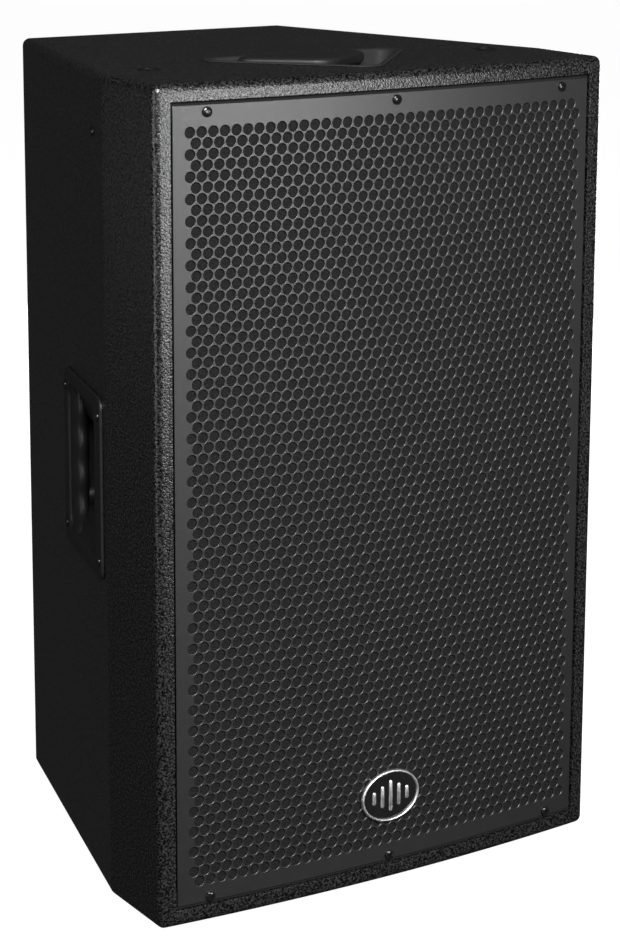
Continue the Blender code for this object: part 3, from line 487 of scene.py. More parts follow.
def plan_ring(inset, height):
    """The cabinet's whole outline drawn in by an inset, at a height."""
    right = [(point - normal * inset) for point, normal in half_plan()]
    left = [Vector((-point.x, point.y)) for point in reversed(right[1:])]
    return at_height(right + left, height)


def recess_ring(extra, behind, flat_y=None):
    """A rectangle inside the cabinet's front edge that follows the bow, or lies flat at a given Y."""
    half_x = HALF_FRONT - PANEL + extra
    low, high = BOTTOM + PANEL - extra, TOP - PANEL + extra
    steps = 30
    xs = [half_x * (2 * step / steps - 1) for step in range(steps + 1)]
    around = [(x, low) for x in xs] + [(x, high) for x in reversed(xs)]
    return [Vector((x, FRONT + bow(x) + behind if flat_y is None else flat_y, z)) for x, z in around]


def wing_matrix(side, from_bend, height):
    """Local axes on a wing's outer face: X to the back, Y up, Z out of the cabinet."""
    along = Vector((-side * math.sin(WING_ANGLE), math.cos(WING_ANGLE), 0))
    outward = Vector((side * math.cos(WING_ANGLE), math.sin(WING_ANGLE), 0))
    place = Vector((side * HALF_FRONT, BEND, height)) + along * from_bend
    matrix = Matrix.Identity(4)
    for column, axis in enumerate((along, Vector((0, 0, 1)), outward, place)):
        for row in range(3):
            matrix[row][column] = axis[row]
    return matrix


def rear_matrix(node):
    """Local axes on the rear panel at a node's height: X as in the frame, Y down, Z out of the cabinet."""
    return Matrix.Translation((0, BACK, centre_of(node)[2])) @ Matrix.Rotation(-math.pi / 2, 4, "X")


def make_shell():
    """One painted skin: panel joints are filled and sanded flush before the paint goes on."""
    edge = quarter(6, EDGE_RADIUS)
    rings = [plan_ring(inset, BOTTOM + rise) for inset, rise in reversed(edge)]
    rings += [plan_ring(inset, TOP - drop) for inset, drop in edge]
    solid = lofted(rings)

    eased = 0.0006
    recess = [recess_ring(eased + 0.02, -0.02), recess_ring(eased, -eased)]
    recess += [recess_ring(outset, behind) for behind, outset in quarter(4, eased, 1)]
    recess.append(recess_ring(0, 0, BAFFLE_FRONT))
    front_cut = lofted(recess)

    wall = PANEL - 0.0002
    straight_x, mitre_y, back_y = HALF_FRONT - wall, BEND - wall * math.tan(WING_ANGLE / 2), BACK - wall
    back_x = HALF_FRONT - wall / math.cos(WING_ANGLE) - (back_y - BEND) * math.tan(WING_ANGLE)
    half = [(straight_x, BAFFLE_FRONT - 0.0005), (straight_x, mitre_y), (back_x, back_y)]
    inside_plan = half + [(-x, y) for x, y in reversed(half)]
    inside_cut = prism(inside_plan, BOTTOM + wall, TOP - wall)

    cuts = [front_cut, inside_cut]
    reach = 0.03
    opening = rounded_rectangle(0.0515, 0.0695, 0.004, 3, 1, (0.002, 0))
    for side, word in SIDES:
        node = f"handle_{word}"
        cutter = prism(opening, -reach, reach)
        cuts.append(moved(cutter, wing_matrix(side, HANDLE_FROM_BEND, centre_of(node)[2])))
    cuts.append(prism(handle_triangle(0.0025, 0.015), TOP - reach, TOP + reach))
    low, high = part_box("connector_plate")
    flange = 0.0105
    opening = rounded_rectangle((high.x - low.x) / 2 - flange, (high.z - low.z) / 2 - flange, 0.004, 3, 1)
    cuts.append(moved(prism(opening, -reach, reach), rear_matrix("connector_plate")))
    radius = 0.0215 + 0.0006
    bore = turned([(0, -reach), (radius, -reach), (radius, reach), (0, reach)], 48)
    cuts.append(moved(bore, Matrix.Translation((0, centre_of("pole_socket")[1], BOTTOM))))
    mesh = applied(solid, cuts, 28)
    panels = ["top_panel", "bottom_panel", "rear_panel"]
    panels += ["cheek_panel_left", "cheek_panel_right", "wing_panel_left", "wing_panel_right"]
    piece("cabinet_shell", mesh, PAINT, panels)


# Grille

HOLE_PITCH = 0.01035
FIELD_SHIFT = 0.0011
HOLE_RADIUS = 0.0047
HOLE_ROWS = 72
HOLES_IN_ROW = 38
TOP_ROW_BELOW_EDGE = 0.0218
SHEET = 0.0015


HOLE_SIDES = 18
HOLE_LIP = 0.00015
LIP_LEAN = 0.6
WALL_LEAN = 2.2
LIP_WIDTH = 0.00025
SHEET_EASE = 0.0004
CELL = HOLE_PITCH / math.sqrt(3)
ROW_END = {-1: 0, 1: -1}  # the index of a row's last point on the left and on the right


def hole_centre(row, column):
    """Arc length from the grille's middle, and depth below its top edge, of one hole."""
    shift = -HOLE_PITCH / 4 if row % 2 == 0 else HOLE_PITCH / 4
    s = (column - (HOLES_IN_ROW - 1) / 2) * HOLE_PITCH + shift + FIELD_SHIFT
    return s, TOP_ROW_BELOW_EDGE + row * HOLE_PITCH * math.sqrt(3) / 2


class Sheet:
    """Vertices, normals and faces of a part of the bowed sheet. Layers are its two faces and its edge."""

    def __init__(self, front, top):
        self.front, self.top = front, top
        self.verts, self.normals, self.faces, self.known = [], [], [], {}

    def vertex(self, s, down, depth, layer, inward=None):
        """One vertex at an arc length and a distance down. A hole's rim leans towards the hole's middle."""
        key = (round(s * 1e7), round(down * 1e7), layer)
        if key not in self.known:
            turn = s / BOW_RADIUS
            reach = BOW_RADIUS - depth
            self.known[key] = len(self.verts)
            y = self.front + BOW_RADIUS - reach * math.cos(turn)
            self.verts.append((reach * math.sin(turn), y, self.top - down))
            normal = Vector((math.sin(turn), -math.cos(turn), 0))
            if inward is not None:
                lean = Vector((inward[0] * math.cos(turn), inward[0] * math.sin(turn), -inward[1]))
                normal = normal + lean * (LIP_LEAN if layer == "front_hole" else WALL_LEAN)
            elif layer == "back":
                normal = -normal
            self.normals.append(Vector() if layer == "edge" else normal.normalized())
        return self.known[key]

    def hole(self, row, column):
        """One hexagonal cell with its round hole, on both faces, and the hole's wall."""
        s, down = hole_centre(row, column)
        around = [math.radians(30 + 360 * step / HOLE_SIDES) for step in range(HOLE_SIDES)]
        share = HOLE_SIDES // 6
        walls = []
        for layer, depth, order in (("front", 0.0, -1), ("back", SHEET, 1)):
            corners = []
            for step in range(6):
                x, y = polar(CELL, math.radians(30 + 60 * step))
                corners.append(self.vertex(s + x, down + y, depth, layer))
            ring = []
            for turn in around:
                x, y = math.cos(turn), math.sin(turn)
                place = (s + HOLE_RADIUS * x, down + HOLE_RADIUS * y, depth - HOLE_LIP * order)
                ring.append(self.vertex(*place, f"{layer}_hole", (-x, -y)))
            walls.append(ring)
            if layer == "front":
                spots = [polar(HOLE_RADIUS + LIP_WIDTH, turn) for turn in around]
                flat = [self.vertex(s + x, down + y, 0, layer) for x, y in spots]
                self.bridge(flat, ring)
                ring = flat
            for step in range(6):
                first, second = corners[step], corners[(step + 1) % 6]
                arc_points = [ring[(step * share + k) % HOLE_SIDES] for k in range(share + 1)]
                half = share // 2 + 1
                for near, far in zip(arc_points[:half], arc_points[1 : half + 1]):
                    self.faces.append([first, far, near][::order])
                self.faces.append([first, second, arc_points[half]][::order])
                for near, far in zip(arc_points[half:], arc_points[half + 1 :]):
                    self.faces.append([second, far, near][::order])
        self.bridge(*walls)

    def bridge(self, first, second):
        """Faces between two rings round a hole."""
        for step in range(HOLE_SIDES):
            after = (step + 1) % HOLE_SIDES
            self.faces.append([first[step], first[after], second[after], second[step]])

    def strip(self, first, second, depth, layer, order):
        """Faces between two lines of points on one face of the sheet."""
        near = [self.vertex(*point, depth, layer) for point in first]
        far = [self.vertex(*point, depth, layer) for point in second]
        for a, b, c, d in zip(near, near[1:], far[1:], far):
            corners = list(dict.fromkeys([a, b, c, d]))
            if len(corners) > 2:
                self.faces.append(corners[::order])

    def band(self, loop, inner, outer):
        """Faces along the sheet's edge between two copies of a line of (arc length, down) points."""
        first = [self.vertex(*point, *inner) for point in loop[0]]
        second = [self.vertex(*point, *outer) for point in loop[1]]
        for a, b, c, d in zip(first, first[1:], second[1:], second):
            self.faces.append([a, b, c, d])


def row_crest(row, upward):
    """The zigzag line along a row's cells, from left to right. It is shared with the next row's cells."""
    points = []
    for column in range(HOLES_IN_ROW):
        s, down = hole_centre(row, column)
        points += [(s - HOLE_PITCH / 2, down - upward * CELL / 2), (s, down - upward * CELL)]
    points.append((points[-1][0] + HOLE_PITCH / 2, points[-2][1]))
    return points


def make_half_grille(name, rows, is_upper, nodes):
    """The upper or lower half of the sheet, closed along the zigzag where the halves meet."""
    low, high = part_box("grille")
    half_arc = BOW_RADIUS * math.asin(high.x / BOW_RADIUS)
    sheet = Sheet(low.y, high.z)
    for row in rows:
        for column in range(HOLES_IN_ROW):
            sheet.hole(row, column)
    outer_row = rows[0] if is_upper else rows[-1]
    height = high.z - low.z
    edge_down, inward, flank_end, seam_end = (0, 1, 0, -1) if is_upper else (height, -1, -1, 0)
    outer = row_crest(outer_row, inward)
    seam = row_crest(HOLE_ROWS // 2 - 1, -1)
    flanks = {}
    for side in (-1, 1):
        points = []
        for row in rows:
            s, down = hole_centre(row, 0 if side < 0 else HOLES_IN_ROW - 1)
            points += [(s + side * HOLE_PITCH / 2, down + half) for half in (-CELL / 2, CELL / 2)]
        flanks[side] = points if is_upper else [seam[ROW_END[side]], *points]

    def edges(inset):
        """The straight edge along the outer row, and the two flanks' edges, drawn in by an inset."""
        level = edge_down + inward * inset
        reach = half_arc - inset
        straight = [(-reach, level)] + [(s, level) for s, _ in outer] + [(reach, level)]
        sides = {side: [(side * reach, down) for _, down in flanks[side]] for side in (-1, 1)}
        return straight, sides

    for layer, depth, order in (("front", 0.0, 1), ("back", SHEET, -1)):
        straight, sides = edges(SHEET_EASE if layer == "front" else 0)
        sheet.strip(outer, straight[1:-1], depth, layer, -order * inward)
        for side in (-1, 1):
            sheet.strip(flanks[side], sides[side], depth, layer, order * side)
            end = ROW_END[side]
            quad = [outer[end], straight[1:-1][end], straight[end], sides[side][flank_end]]
            quad = list(dict.fromkeys(sheet.vertex(*point, depth, layer) for point in quad))
            if flanks[side][flank_end] != outer[end]:
                quad.append(sheet.vertex(*flanks[side][flank_end], depth, layer))
            sheet.faces.append(quad[:: order * side * inward])
    straight, sides = edges(SHEET_EASE)
    straight_out, sides_out = edges(0)
    lines = [(straight, straight_out), (sides[-1], sides_out[-1]), (sides[1], sides_out[1])]
    for side, end in ROW_END.items():
        near = [straight[end], sides[side][flank_end]]
        lines.append((near, [straight_out[end], sides_out[side][flank_end]]))
    for near, far in lines:
        sheet.band((near, far), (0, "front"), (SHEET_EASE, "edge"))
        sheet.band((far, far), (SHEET_EASE, "edge"), (SHEET, "back"))
    left, right = sides[-1][seam_end], sides[1][seam_end]
    far_seam = [(sides_out[-1][0][0], left[1]), *seam, (sides_out[1][0][0], right[1])]
    sheet.band(([left, *seam, right], far_seam), (0, "front"), (SHEET, "back"))
    for side in (-1, 1):
        near, far = sides[side][seam_end], sides_out[side][seam_end]
        corner = [(*near, 0, "front"), (*far, SHEET_EASE, "edge"), (*far, SHEET, "back")]
        sheet.faces.append([sheet.vertex(*point) for point in corner])
    mesh = bpy.data.meshes.new(name)
    mesh.from_pydata(sheet.verts, [], sheet.faces)
    shape = bmesh.new()
    shape.from_mesh(mesh)
    bmesh.ops.recalc_face_normals(shape, faces=shape.faces)
    shape.to_mesh(mesh)
    shape.free()
    mesh.shade_smooth()
    mesh.normals_split_custom_set_from_vertices(sheet.normals)
    piece(name, mesh, GRILLE_COAT, nodes)


def make_grille():
    """A bowed steel sheet punched with round holes on a hexagonal lattice."""
    middle = HOLE_ROWS // 2
    make_half_grille("grille_sheet_upper", range(middle), True, ["grille"])
    make_half_grille("grille_sheet_lower", range(middle, HOLE_ROWS), False, ())


def make_foam():
    """A sheet of foam behind the grille that follows its bow."""
    low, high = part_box("grille_foam")
    front = low.y
    thickness = 0.005
    steps = 40
    xs = [high.x * (2 * step / steps - 1) for step in range(steps + 1)]
    near = [(x, front + bow(x)) for x in xs]
    far = [(x * (1 - thickness / BOW_RADIUS), front + thickness + bow(x)) for x in xs]
    piece("foam_sheet", prism(near + far[::-1], low.z, high.z), FOAM, ["grille_foam"])


# Screws


SCREW_SMOOTH = 40


def screw_mesh(radius, height, under=-0.002):
    """A pan head with a rounded rim, a cross recess and the start of its shank."""
    profile = [(0, height)]
    profile += [(radius * 0.45, height * 0.97), (radius * 0.70, height * 0.86)]
    profile += arc((radius * 0.80, height * 0.42), radius * 0.20, 70, 0, 4)
    profile += [(radius, 0), (radius * 0.45, 0), (radius * 0.45, under), (0, under)]
    head = turned(profile, 36, SCREW_SMOOTH)
    blades = []
    for turn in (0, math.pi / 2):
        rings = []
        for level, share in ((height * 0.12, 0.30), (height + 0.001, 0.78)):
            length, width = radius * share, radius * 0.13
            corners = [(-length, -width), (length, -width), (length, width), (-length, width)]
            rings.append([Matrix.Rotation(turn, 4, "Z") @ Vector((x, y, level)) for x, y in corners])
        blades.append(lofted(rings))
    return applied(head, blades, SCREW_SMOOTH)


def screw_set(name, radius, height, seats, matrix):
    """Equal screws as one piece: one at each seat, and all of them moved with the part they hold."""
    screw = screw_mesh(radius, height)
    shape = bmesh.new()
    for seat in seats:
        shape.from_mesh(moved(screw.copy(), seat))
    mesh = bpy.data.meshes.new("mesh")
    shape.to_mesh(mesh)
    shape.free()
    piece(name, smoothed(mesh, SCREW_SMOOTH), BLACK_STEEL, (), matrix)


def spun(place, degrees):
    return Matrix.Translation(place) @ Matrix.Rotation(math.radians(degrees), 4, "Z")


def make_grille_screws():
    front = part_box("grille")[0].y
    for number in range(1, 7):
        node = f"grille_screw_{number}"
        x, _, z = centre_of(node)
        x = round(x, 4)
        lean = Matrix.Rotation(math.asin(x / BOW_RADIUS), 4, "Z")
        matrix = Matrix.Translation((x, front + bow(x), z)) @ lean @ Matrix.Rotation(math.pi / 2, 4, "X")
        mesh = screw_mesh(0.0043, 0.0026, -0.014)
        seat = matrix @ spun((0, 0, 0), 20 + 47 * number)
        piece(f"grille_bolt_{number}", mesh, BLACK_STEEL, [node], seat)


# Badge


def ellipse_ring(half_width, half_height, level):
    turns = [2 * math.pi * step / 72 for step in range(72)]
    return [Vector((half_width * math.cos(t), half_height * math.sin(t), level)) for t in turns]


def make_badge():
    """An oval badge: a chromed ring round a gloss black face with a plain level-meter mark."""
    low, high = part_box("badge_ring")
    half_x, half_z = (high.x - low.x) / 2, (high.z - low.z) / 2
    centre = (0, high.y, centre_of("badge_ring")[2])
    matrix = Matrix.Translation(centre) @ Matrix.Rotation(math.pi / 2, 4, "X")
    depth = high.y - low.y
    width = 0.0024
    rings = [ellipse_ring(half_x, half_z, 0)]
    for step in range(10):
        turn = math.pi * step / 9
        inset = width / 2 * (1 - math.cos(turn))
        level = depth * 0.45 + depth * 0.55 * math.sin(turn)
        rings.append(ellipse_ring(half_x - inset, half_z - inset, level))
    rings.append(ellipse_ring(half_x - width, half_z - width, 0))
    shape = bmesh.new()
    made = loft_into(shape, rings, False, False)
    bridge(shape, made[-1], made[0])
    piece("badge_chrome_ring", finished_mesh(shape), CHROME, ["badge_ring"], matrix)

    inner_x, inner_z = half_x - width - 0.0003, half_z - width - 0.0003
    rise = depth - 0.0012
    rings = [ellipse_ring(inner_x, inner_z, 0), ellipse_ring(inner_x, inner_z, rise - 0.0006)]
    for share in (0.985, 0.93, 0.8, 0.6, 0.35, 0.12):
        level = rise - 0.0006 + 0.0006 * math.sqrt(1 - share**2)
        rings.append(ellipse_ring(inner_x * share, inner_z * share, level))
    piece("badge_face", lofted(rings), GLOSS, ["badge_plate"], matrix)

    bars = bmesh.new()
    pitch, half_bar = 0.0086, 0.0018
    for place, tall in zip(range(-2, 3), (0.0120, 0.0200, 0.0280, 0.0200, 0.0120)):
        x = place * pitch
        points = rounded_rectangle(half_bar, tall / 2, 0.0016, 5, 1, (x, 0))
        smaller = rounded_rectangle(half_bar - 0.0004, tall / 2 - 0.0004, 0.0012, 5, 1, (x, 0))
        base, top = rise - 0.0010, rise + 0.0005
        loft_into(bars, [at_height(points, base), at_height(points, top - 0.0003), at_height(smaller, top)])
    piece("badge_mark", finished_mesh(bars, 50), CHROME, (), matrix)


# Handles


def lofted_shell(rings, wall_rings):
    """A dished plate: rings run over its face from the outside in, wall_rings back underneath."""
    shape = bmesh.new()
    face = loft_into(shape, rings, start_cap=False)
    under = loft_into(shape, wall_rings, start_cap=False)
    bridge(shape, face[0], under[0])
    return finished_mesh(shape, 35)


def side_handle_mesh():
    """A moulded dish with lead-in slopes above and below, and a grip bar with finger waves."""
    half_x, half_y, proud = 0.071, 0.080, 0.0028
    depth = 0.044
    mouth_x, mouth_y, mouth_middle = 0.0505, 0.0655, 0.0050
    floor_x, floor_y, floor_middle = 0.046, 0.041, 0.002

    def plate(inset, level):
        return at_height(rounded_rectangle(half_x - inset, half_y - inset, 0.010 - inset * 0.6, 6, 8), level)

    def pocket(share, outset, level):
        """The pocket's outline. Its ends slope in over a quarter of the depth, its sides all the way."""
        ends = min(1, share * 3.6)
        ends = ends * ends * (3 - 2 * ends)
        x = mouth_x + (floor_x - mouth_x) * share + outset
        y = mouth_y + (floor_y - mouth_y) * ends + outset
        centre = (mouth_middle + (floor_middle - mouth_middle) * share, 0)
        return at_height(rounded_rectangle(x, y, 0.012, 6, 8, centre), level)

    lip, wall, fillet = 0.0035, 0.003, 0.008
    slope = depth - 0.008
    rings = [plate(0, JOINT_GAP)]
    rings += [plate(inset, proud - drop) for inset, drop in quarter(4, 0.0016)]
    rings += [pocket(0, outset, proud - drop) for drop, outset in quarter(5, lip)]
    for share in (0.04, 0.08, 0.12, 0.16, 0.20, 0.24, 0.28, 0.45, 0.7, 0.85):
        rings.append(pocket(share, 0, proud - lip - slope * share))
    rings += [pocket(0.9, -inset, rise - depth) for inset, rise in quarter(5, fillet, 1)]
    under = [plate(0.0001, JOINT_GAP), pocket(0, wall * 0.5, JOINT_GAP)]
    under += [pocket(share, wall, -lip - slope * share) for share in (0.08, 0.16, 0.24, 0.5)]
    under += [pocket(0.9, wall, 0.004 - depth), pocket(0.9, wall - fillet, -depth - wall)]
    dish = lofted_shell(rings, under)

    sections = []
    steps, around = 56, 28
    half_length, wave_length, swell, back = 0.0675, 0.031, 0.0015, 0.0560
    for step in range(steps + 1):
        y = half_length * (2 * step / steps - 1)
        fade = max(0, min(1, (half_length - abs(y)) / 0.012))
        wave = swell * math.cos(2 * math.pi * y / wave_length) * fade
        front = 0.0285 + wave + swell * (1 - fade)
        centre, half = (front + back) / 2, (back - front) / 2
        ring = []
        for part in range(around):
            across, up = (math.copysign(abs(v) ** 0.9, v) for v in polar(1, 2 * math.pi * part / around))
            ring.append(Vector((centre + half * across, y, -0.0050 + 0.0070 * up)))
        sections.append(ring)
    grip = lofted(sections, 50)
    return dish, grip


def make_side_handles():
    for side, word in SIDES:
        node = f"handle_{word}"
        matrix = wing_matrix(side, HANDLE_FROM_BEND, centre_of(node)[2])
        dish, grip = side_handle_mesh()
        piece(f"handle_dish_{word}", dish, MOULDING, [node], matrix)
        piece(f"handle_grip_{word}", grip, MOULDING, (), matrix)
        offset = 0.0635
        places = [(x, y, 0.0028) for y in (-offset, offset) for x in (-offset, offset)]
        seats = [spun(place, 25 + 31 * number) for number, place in enumerate(places)]
        screw_set(f"handle_screws_{word}", 0.0038, 0.0021, seats, matrix)


TOP_HANDLE_SLOPE = 1.126


def handle_triangle(inset, radius):
    """The top handle's plan: a rounded triangle that points forwards, drawn in by an inset."""
    low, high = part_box("handle_top")
    back = high.y - inset
    front = low.y - 0.0105 + inset * math.hypot(1, TOP_HANDLE_SLOPE)
    half_width = (back - front) / TOP_HANDLE_SLOPE
    corners = [(0, front, radius * 1.3), (half_width, back, radius), (-half_width, back, radius)]
    return outline(corners, 8, 10)


def make_top_handle():
    """A dished triangular pocket with a grip lip that bulges forwards over it."""
    proud, depth, wall = 0.0015, 0.044, 0.003
    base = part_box("handle_top")[1].y

    def ring(inset, radius, level, draft=1.0):
        points = handle_triangle(inset, radius)
        middle = sum(points, Vector((0, 0))) / len(points)
        return at_height([middle + (point - middle) * draft for point in points], TOP + level)

    rings = [ring(0, 0.016, JOINT_GAP)]
    rings += [ring(inset, 0.016, proud - drop) for inset, drop in quarter(4, 0.0011)]
    rim, lip, fillet = 0.006, 0.0028, 0.007
    rings += [ring(rim - outset, 0.012, proud - drop) for drop, outset in quarter(5, lip)]
    for share in (0.25, 0.5, 0.75):
        rings.append(ring(rim, 0.012, proud - lip - (depth - 0.009) * share, 1 - 0.13 * share))
    for inset, rise in quarter(5, fillet, 1):
        rings.append(ring(rim, 0.012, rise - depth, 0.87 - 0.10 * inset / fillet))
    under = [ring(0.0001, 0.016, JOINT_GAP)]
    for level, draft in ((JOINT_GAP, 1.0), (-0.010, 0.985), (0.004 - depth, 0.875)):
        under.append(ring(rim - wall, 0.013, level, draft))
    under.append(ring(rim, 0.013, -depth - wall, 0.80))
    piece("handle_top_dish", lofted_shell(rings, under), POCKET, ["handle_top"])

    root = base - rim + 0.0022
    apex = base - 0.063
    thick = 0.011

    def lip_ring(inset, level):
        corners = [
            (0, apex + inset * 2.0, 0.024 - inset),
            (0.0800 - inset * 2.2, root, 0.008),
            (-0.0800 + inset * 2.2, root, 0.008),
        ]
        return at_height(outline(corners, 14, 8), TOP + level)

    round_edge = quarter(5, 0.0032)
    rings = [lip_ring(0.0022, proud - thick)]
    rings += [lip_ring(inset, proud - thick + rise) for inset, rise in reversed(round_edge)]
    rings += [lip_ring(inset, proud - drop) for inset, drop in round_edge]
    piece("handle_top_lip", lofted(rings, 40), MOULDING)


# Fittings


def fly_point_mesh(rim):
    """A dished flange round a sunk screw with a hexagon socket."""
    proud, sunk, shank = 0.0006, -0.0030, rim * 0.70
    profile = [(0, sunk / 2), (rim * 0.44, sunk / 2)]
    profile += arc((rim * 0.44, sunk / 2 - rim * 0.06), rim * 0.06, 90, 0, 3)
    profile += [(rim * 0.52, sunk), (rim * 0.62, sunk)]
    profile += [(rim * 0.86, proud * 0.4), (rim * 0.90, proud), (rim * 0.96, proud), (rim, proud * 0.6)]
    profile += [(rim, JOINT_GAP), (shank, JOINT_GAP), (shank, -0.018), (0, -0.018)]
    solid = turned(profile, 48, 35)
    hexagon = [polar(rim * 0.30, math.pi / 3 * corner) for corner in range(6)]
    key = prism(hexagon, sunk / 2 - rim * 0.28, 0.004)
    return applied(solid, [key], 35)


def make_fly_points():
    inserts = []
    for _, word in SIDES:
        x, y, _ = centre_of(f"fly_point_top_{word}")
        inserts.append((f"top_{word}", 0.010, Matrix.Translation((x, y, TOP))))
    for side, word in SIDES:
        height = centre_of(f"fly_point_side_{word}")[2]
        inserts.append((f"side_{word}", 0.0045, wing_matrix(side, FLY_FROM_BEND, height)))
    inserts.append(("rear", 0.010, rear_matrix("fly_point_rear")))
    for where, rim, matrix in inserts:
        node = f"fly_point_{where}"
        piece(f"fly_insert_{where}", fly_point_mesh(rim), BLACK_STEEL, [node], matrix)


def make_connector_plate():
    """A pressed steel dish with two locking sockets and the plate's own screws."""
    low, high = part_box("connector_plate")
    half_x, half_y = (high.x - low.x) / 2, (high.z - low.z) / 2
    place = rear_matrix("connector_plate")
    face, depth, wall = 0.0015, 0.022, 0.0015

    def ring(inset, radius, level):
        return at_height(rounded_rectangle(half_x - inset, half_y - inset, radius, 6, 4), level)

    rings = [ring(0, 0.008, JOINT_GAP), ring(0, 0.008, face - 0.0004), ring(0.0004, 0.0078, face)]
    bend = 0.0025
    rings += [ring(0.0145 - outset, 0.006, face - drop) for drop, outset in quarter(4, bend)]
    rings.append(ring(0.0185, 0.006, bend - depth))
    rings += [ring(0.0185 + inset, 0.006, rise - depth) for inset, rise in quarter(4, bend, 1)]
    bottom = -depth - wall
    under = [ring(0.0001, 0.008, JOINT_GAP), ring(0.0125, 0.006, JOINT_GAP)]
    under += [ring(0.0170, 0.006, bottom + bend), ring(0.0195, 0.006, bottom)]
    plate = lofted_shell(rings, under)
    holes = []
    xs = []
    for number in (1, 2):
        xs.append(centre_of(f"speaker_socket_{number}")[0])
        hole = turned([(0, -0.04), (0.0125, -0.04), (0.0125, 0.004), (0, 0.004)], 40)
        holes.append(moved(hole, Matrix.Translation((xs[-1], 0, 0))))
    plate = applied(plate, holes, 35)
    piece("connector_dish", plate, BLACK_STEEL, ["connector_plate"], place)

    for number, x in enumerate(xs, 1):
        seat = place @ Matrix.Translation((x, 0, 0))
        profile = arc((0.0150, -0.0195), 0.0010, 0, 90, 3) + [(0.0112, -0.0185), (0.0105, -0.0192)]
        profile += [(0.0105, -0.0400), (0.0030, -0.0400)]
        profile += [(0.0030, -0.0245), (0.0026, -0.0240), (0, -0.0240)]
        profile += [(0, -0.0460), (0.0121, -0.0460), (0.0121, -0.0217), (0.0160, -0.0217), (0.0160, -0.0195)]
        body = turned(profile, 56, 35)
        keys = []
        for turn in (35, 155, 275):
            slot_ring = rounded_rectangle(0.0011, 0.0016, 0.0004, 2, 1, (0.0108, 0))
            cutter = prism(slot_ring, -0.036, -0.01)
            keys.append(moved(cutter, Matrix.Rotation(math.radians(turn), 4, "Z")))
        body = applied(body, keys, 35)
        piece(f"socket_body_{number}", body, SOCKET_PLASTIC, [f"speaker_socket_{number}"], seat)
        latch_ring = rounded_rectangle(0.0026, 0.0040, 0.0012, 4, 2, (0, 0.0185))
        latch_top = rounded_rectangle(0.0020, 0.0034, 0.0010, 4, 2, (0, 0.0185))
        rings = [at_height(latch_ring, level) for level in (-0.0221, -0.0186)]
        rings.append(at_height(latch_top, -0.0180))
        piece(f"socket_latch_{number}", lofted(rings), SOCKET_PLASTIC, (), seat)

    reach_x, reach_y = half_x - 0.0065, half_y - 0.0065
    places = [(x * reach_x, y * reach_y, face) for y in (-1, 1) for x in (-1, 0, 1)]
    seats = [spun(place, 15 + 53 * number) for number, place in enumerate(places)]
    screw_set("connector_screws", 0.0034, 0.0018, seats, place)


def make_pole_socket():
    """A stand socket with a flange and four screws."""
    place = Matrix.Translation((0, centre_of("pole_socket")[1], BOTTOM))
    profile = [(0, 0.1030), (0.0205, 0.1030), (0.0210, 0.1025), (0.0215, -JOINT_GAP), (0.0450, -JOINT_GAP)]
    profile += [(0.0450, -0.0018), (0.0447, -0.0025), (0.0440, -0.0028)]
    profile += [(0.0205, -0.0028), (0.0195, -0.0024), (0.01775, 0.0004), (0.01775, 0.1000), (0, 0.1000)]
    piece("stand_socket", turned(profile, 72), MOULDING, ["pole_socket"], place)
    seats = []
    for turn in (math.radians(45 + 90 * number) for number in range(4)):
        spot = Matrix.Translation((*polar(0.0350, turn), -0.0028))
        seats.append(spot @ Matrix.Rotation(math.pi, 4, "X"))
    screw_set("stand_socket_screws", 0.0036, 0.0018, seats, place)


def make_feet():
    """Round rubber feet, each held by one screw in a counterbore."""
    for number in range(1, 5):
        node = f"foot_{number}"
        x, y, _ = centre_of(node)
        place = Matrix.Translation((x, y, 0))
        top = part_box(node)[1].z
        profile = [(0, top), (0.0188, top), (0.0190, top - 0.0003)]
        profile += [(0.0176, 0.0012)] + arc((0.0162, 0.0012), 0.0012, -15, -90, 4)
        profile += [(0.0075, 0), (0.0068, 0.0005), (0.0065, 0.003), (0, 0.003)]
        piece(f"rubber_foot_{number}", turned(profile, 56), RUBBER, [node], place)
        mesh = screw_mesh(0.0042, 0.0018, -0.001)
        seat = place @ Matrix.Translation((0, 0, 0.003)) @ Matrix.Rotation(math.pi, 4, "X")
        piece(f"foot_screw_{number}", mesh, BLACK_STEEL, (), seat)


def finish_inner_nodes():
    """CAD nodes whose shape is right keep it, and get a material with real detail."""
    finishes = {
        STAIN: ["front_baffle", "grille_rail_top", "grille_rail_bottom"],
        PLYWOOD: ["shelf_brace"],
        CAST: ["woofer_frame"],
        RUBBER: ["woofer_gasket"],
        CLOTH: ["woofer_surround", "woofer_spider", "hf_suspension"],
        PAPER: ["woofer_cone", "woofer_dust_cap"],
        COPPER: ["woofer_voice_coil", "crossover_inductor"],
        STEEL: ["woofer_top_plate", "woofer_pole_plate", "hf_diaphragm"],
        FERRITE: ["woofer_magnet", "hf_driver_magnet"],
        MOULDING: ["horn_waveguide", "hf_driver_cover", "port_tube_left", "port_tube_right",
                   "crossover_capacitor"],
        BOARD: ["crossover_board"],
        LEAD: ["woofer_lead", "hf_lead"],
        FELT: ["acoustic_lining"],
    }
    for finish, names in finishes.items():
        for name in names:
            mesh = NODES[name].data
            mesh.materials.clear()
            mesh.materials.append(finish)
            smoothed(mesh, 32)


# Studio


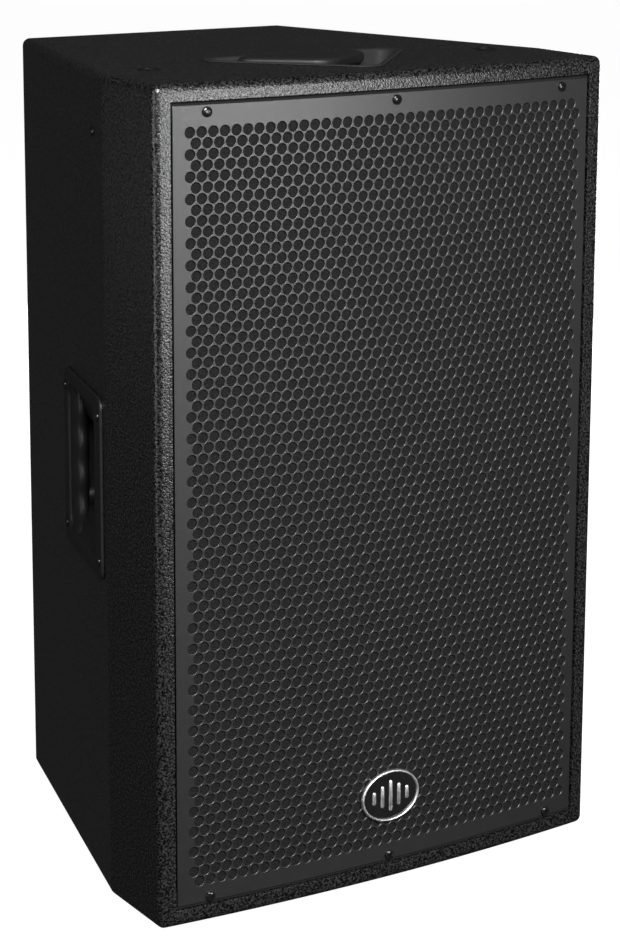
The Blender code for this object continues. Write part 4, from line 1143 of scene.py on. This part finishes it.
def make_floor():
    mesh = bpy.data.meshes.new("floor")
    size = 60
    corners = [(-size, -size, 0), (size, -size, 0), (size, size, 0), (-size, size, 0)]
    mesh.from_pydata(corners, [], [(0, 1, 2, 3)])
    made = bpy.data.objects.new("floor", mesh)
    bpy.context.scene.collection.objects.link(made)
    pale = Nodes("pale_floor", (0.20, 0.20, 0.20), 0.9)
    pale.shader.inputs["Specular IOR Level"].default_value = 0.1
    pale.shader.inputs["Emission Color"].default_value = (1, 1, 1, 1)
    pale.shader.inputs["Emission Strength"].default_value = 0.97
    mesh.materials.append(pale.material)
    made.visible_glossy = False
    made.visible_diffuse = False


def area_light(name, place, target, width, height, power):
    data = bpy.data.lights.new(name, "AREA")
    data.shape = "RECTANGLE"
    data.size, data.size_y = width, height
    data.energy = power
    made = bpy.data.objects.new(name, data)
    made.location = place
    made.rotation_euler = (Vector(target) - Vector(place)).to_track_quat("-Z", "Y").to_euler()
    made.visible_camera = False
    bpy.context.scene.collection.objects.link(made)


def make_lights():
    area_light("key", (0.80, -2.6, 0.61), (0, -0.2, 0.55), 1.0, 0.7, 38)
    area_light("edge_strip", (-2.5, -0.75, 0.55), (-0.2, -0.1, 0.4), 0.35, 1.2, 11)
    area_light("left_high", (-0.75, -2.2, 1.8), (0, -0.2, 0.5), 1.5, 0.8, 140)
    area_light("rear_left", (-2.2, 2.3, 0.4), (-0.1, 0, 0.4), 0.35, 0.35, 0.5)
    area_light("rear_fill", (1.54, 1.84, 0.37), (0, 0, 0.36), 2.2, 0.66, 48)
    world = bpy.data.worlds.new("studio")
    world.use_nodes = True
    tree = world.node_tree
    background = tree.nodes["Background"]
    background.inputs["Color"].default_value = (1, 1, 1, 1)
    strength = tree.nodes.new("ShaderNodeMapRange")
    strength.inputs["To Min"].default_value = 0.032
    strength.inputs["To Max"].default_value = 0.96
    tree.links.new(tree.nodes.new("ShaderNodeLightPath").outputs["Is Camera Ray"], strength.inputs["Value"])
    tree.links.new(strength.outputs["Result"], background.inputs["Strength"])
    bpy.context.scene.world = world


CAMERA_PLACE = (-1.2092, -1.9790, 0.9486)
CAMERA_AZIMUTH = -32.4074
CAMERA_ELEVATION = 11.8172
CAMERA_ROLL = 0.229
CAMERA_LENS = 98.231
CAMERA_SHIFT = -0.1497


def make_camera():
    data = bpy.data.cameras.new("camera")
    data.lens = CAMERA_LENS
    data.sensor_width = 36
    data.sensor_fit = "AUTO"
    data.shift_y = CAMERA_SHIFT
    made = bpy.data.objects.new("camera", data)
    azimuth, elevation = math.radians(CAMERA_AZIMUTH), math.radians(CAMERA_ELEVATION)
    flat = math.cos(elevation)
    backwards = Vector((math.sin(azimuth) * flat, -math.cos(azimuth) * flat, math.sin(elevation)))
    turn = backwards.to_track_quat("Z", "Y").to_matrix().to_4x4()
    roll = Matrix.Rotation(math.radians(CAMERA_ROLL), 4, "Z")
    made.matrix_world = Matrix.Translation(CAMERA_PLACE) @ turn @ roll
    bpy.context.scene.collection.objects.link(made)
    bpy.context.scene.camera = made
    bpy.context.scene.view_settings.view_transform = "Standard"


make_camera()
make_floor()
make_lights()
make_shell()
make_grille()
make_foam()
make_grille_screws()
make_badge()
make_side_handles()
make_top_handle()
make_fly_points()
make_connector_plate()
make_pole_socket()
make_feet()
finish_inner_nodes()
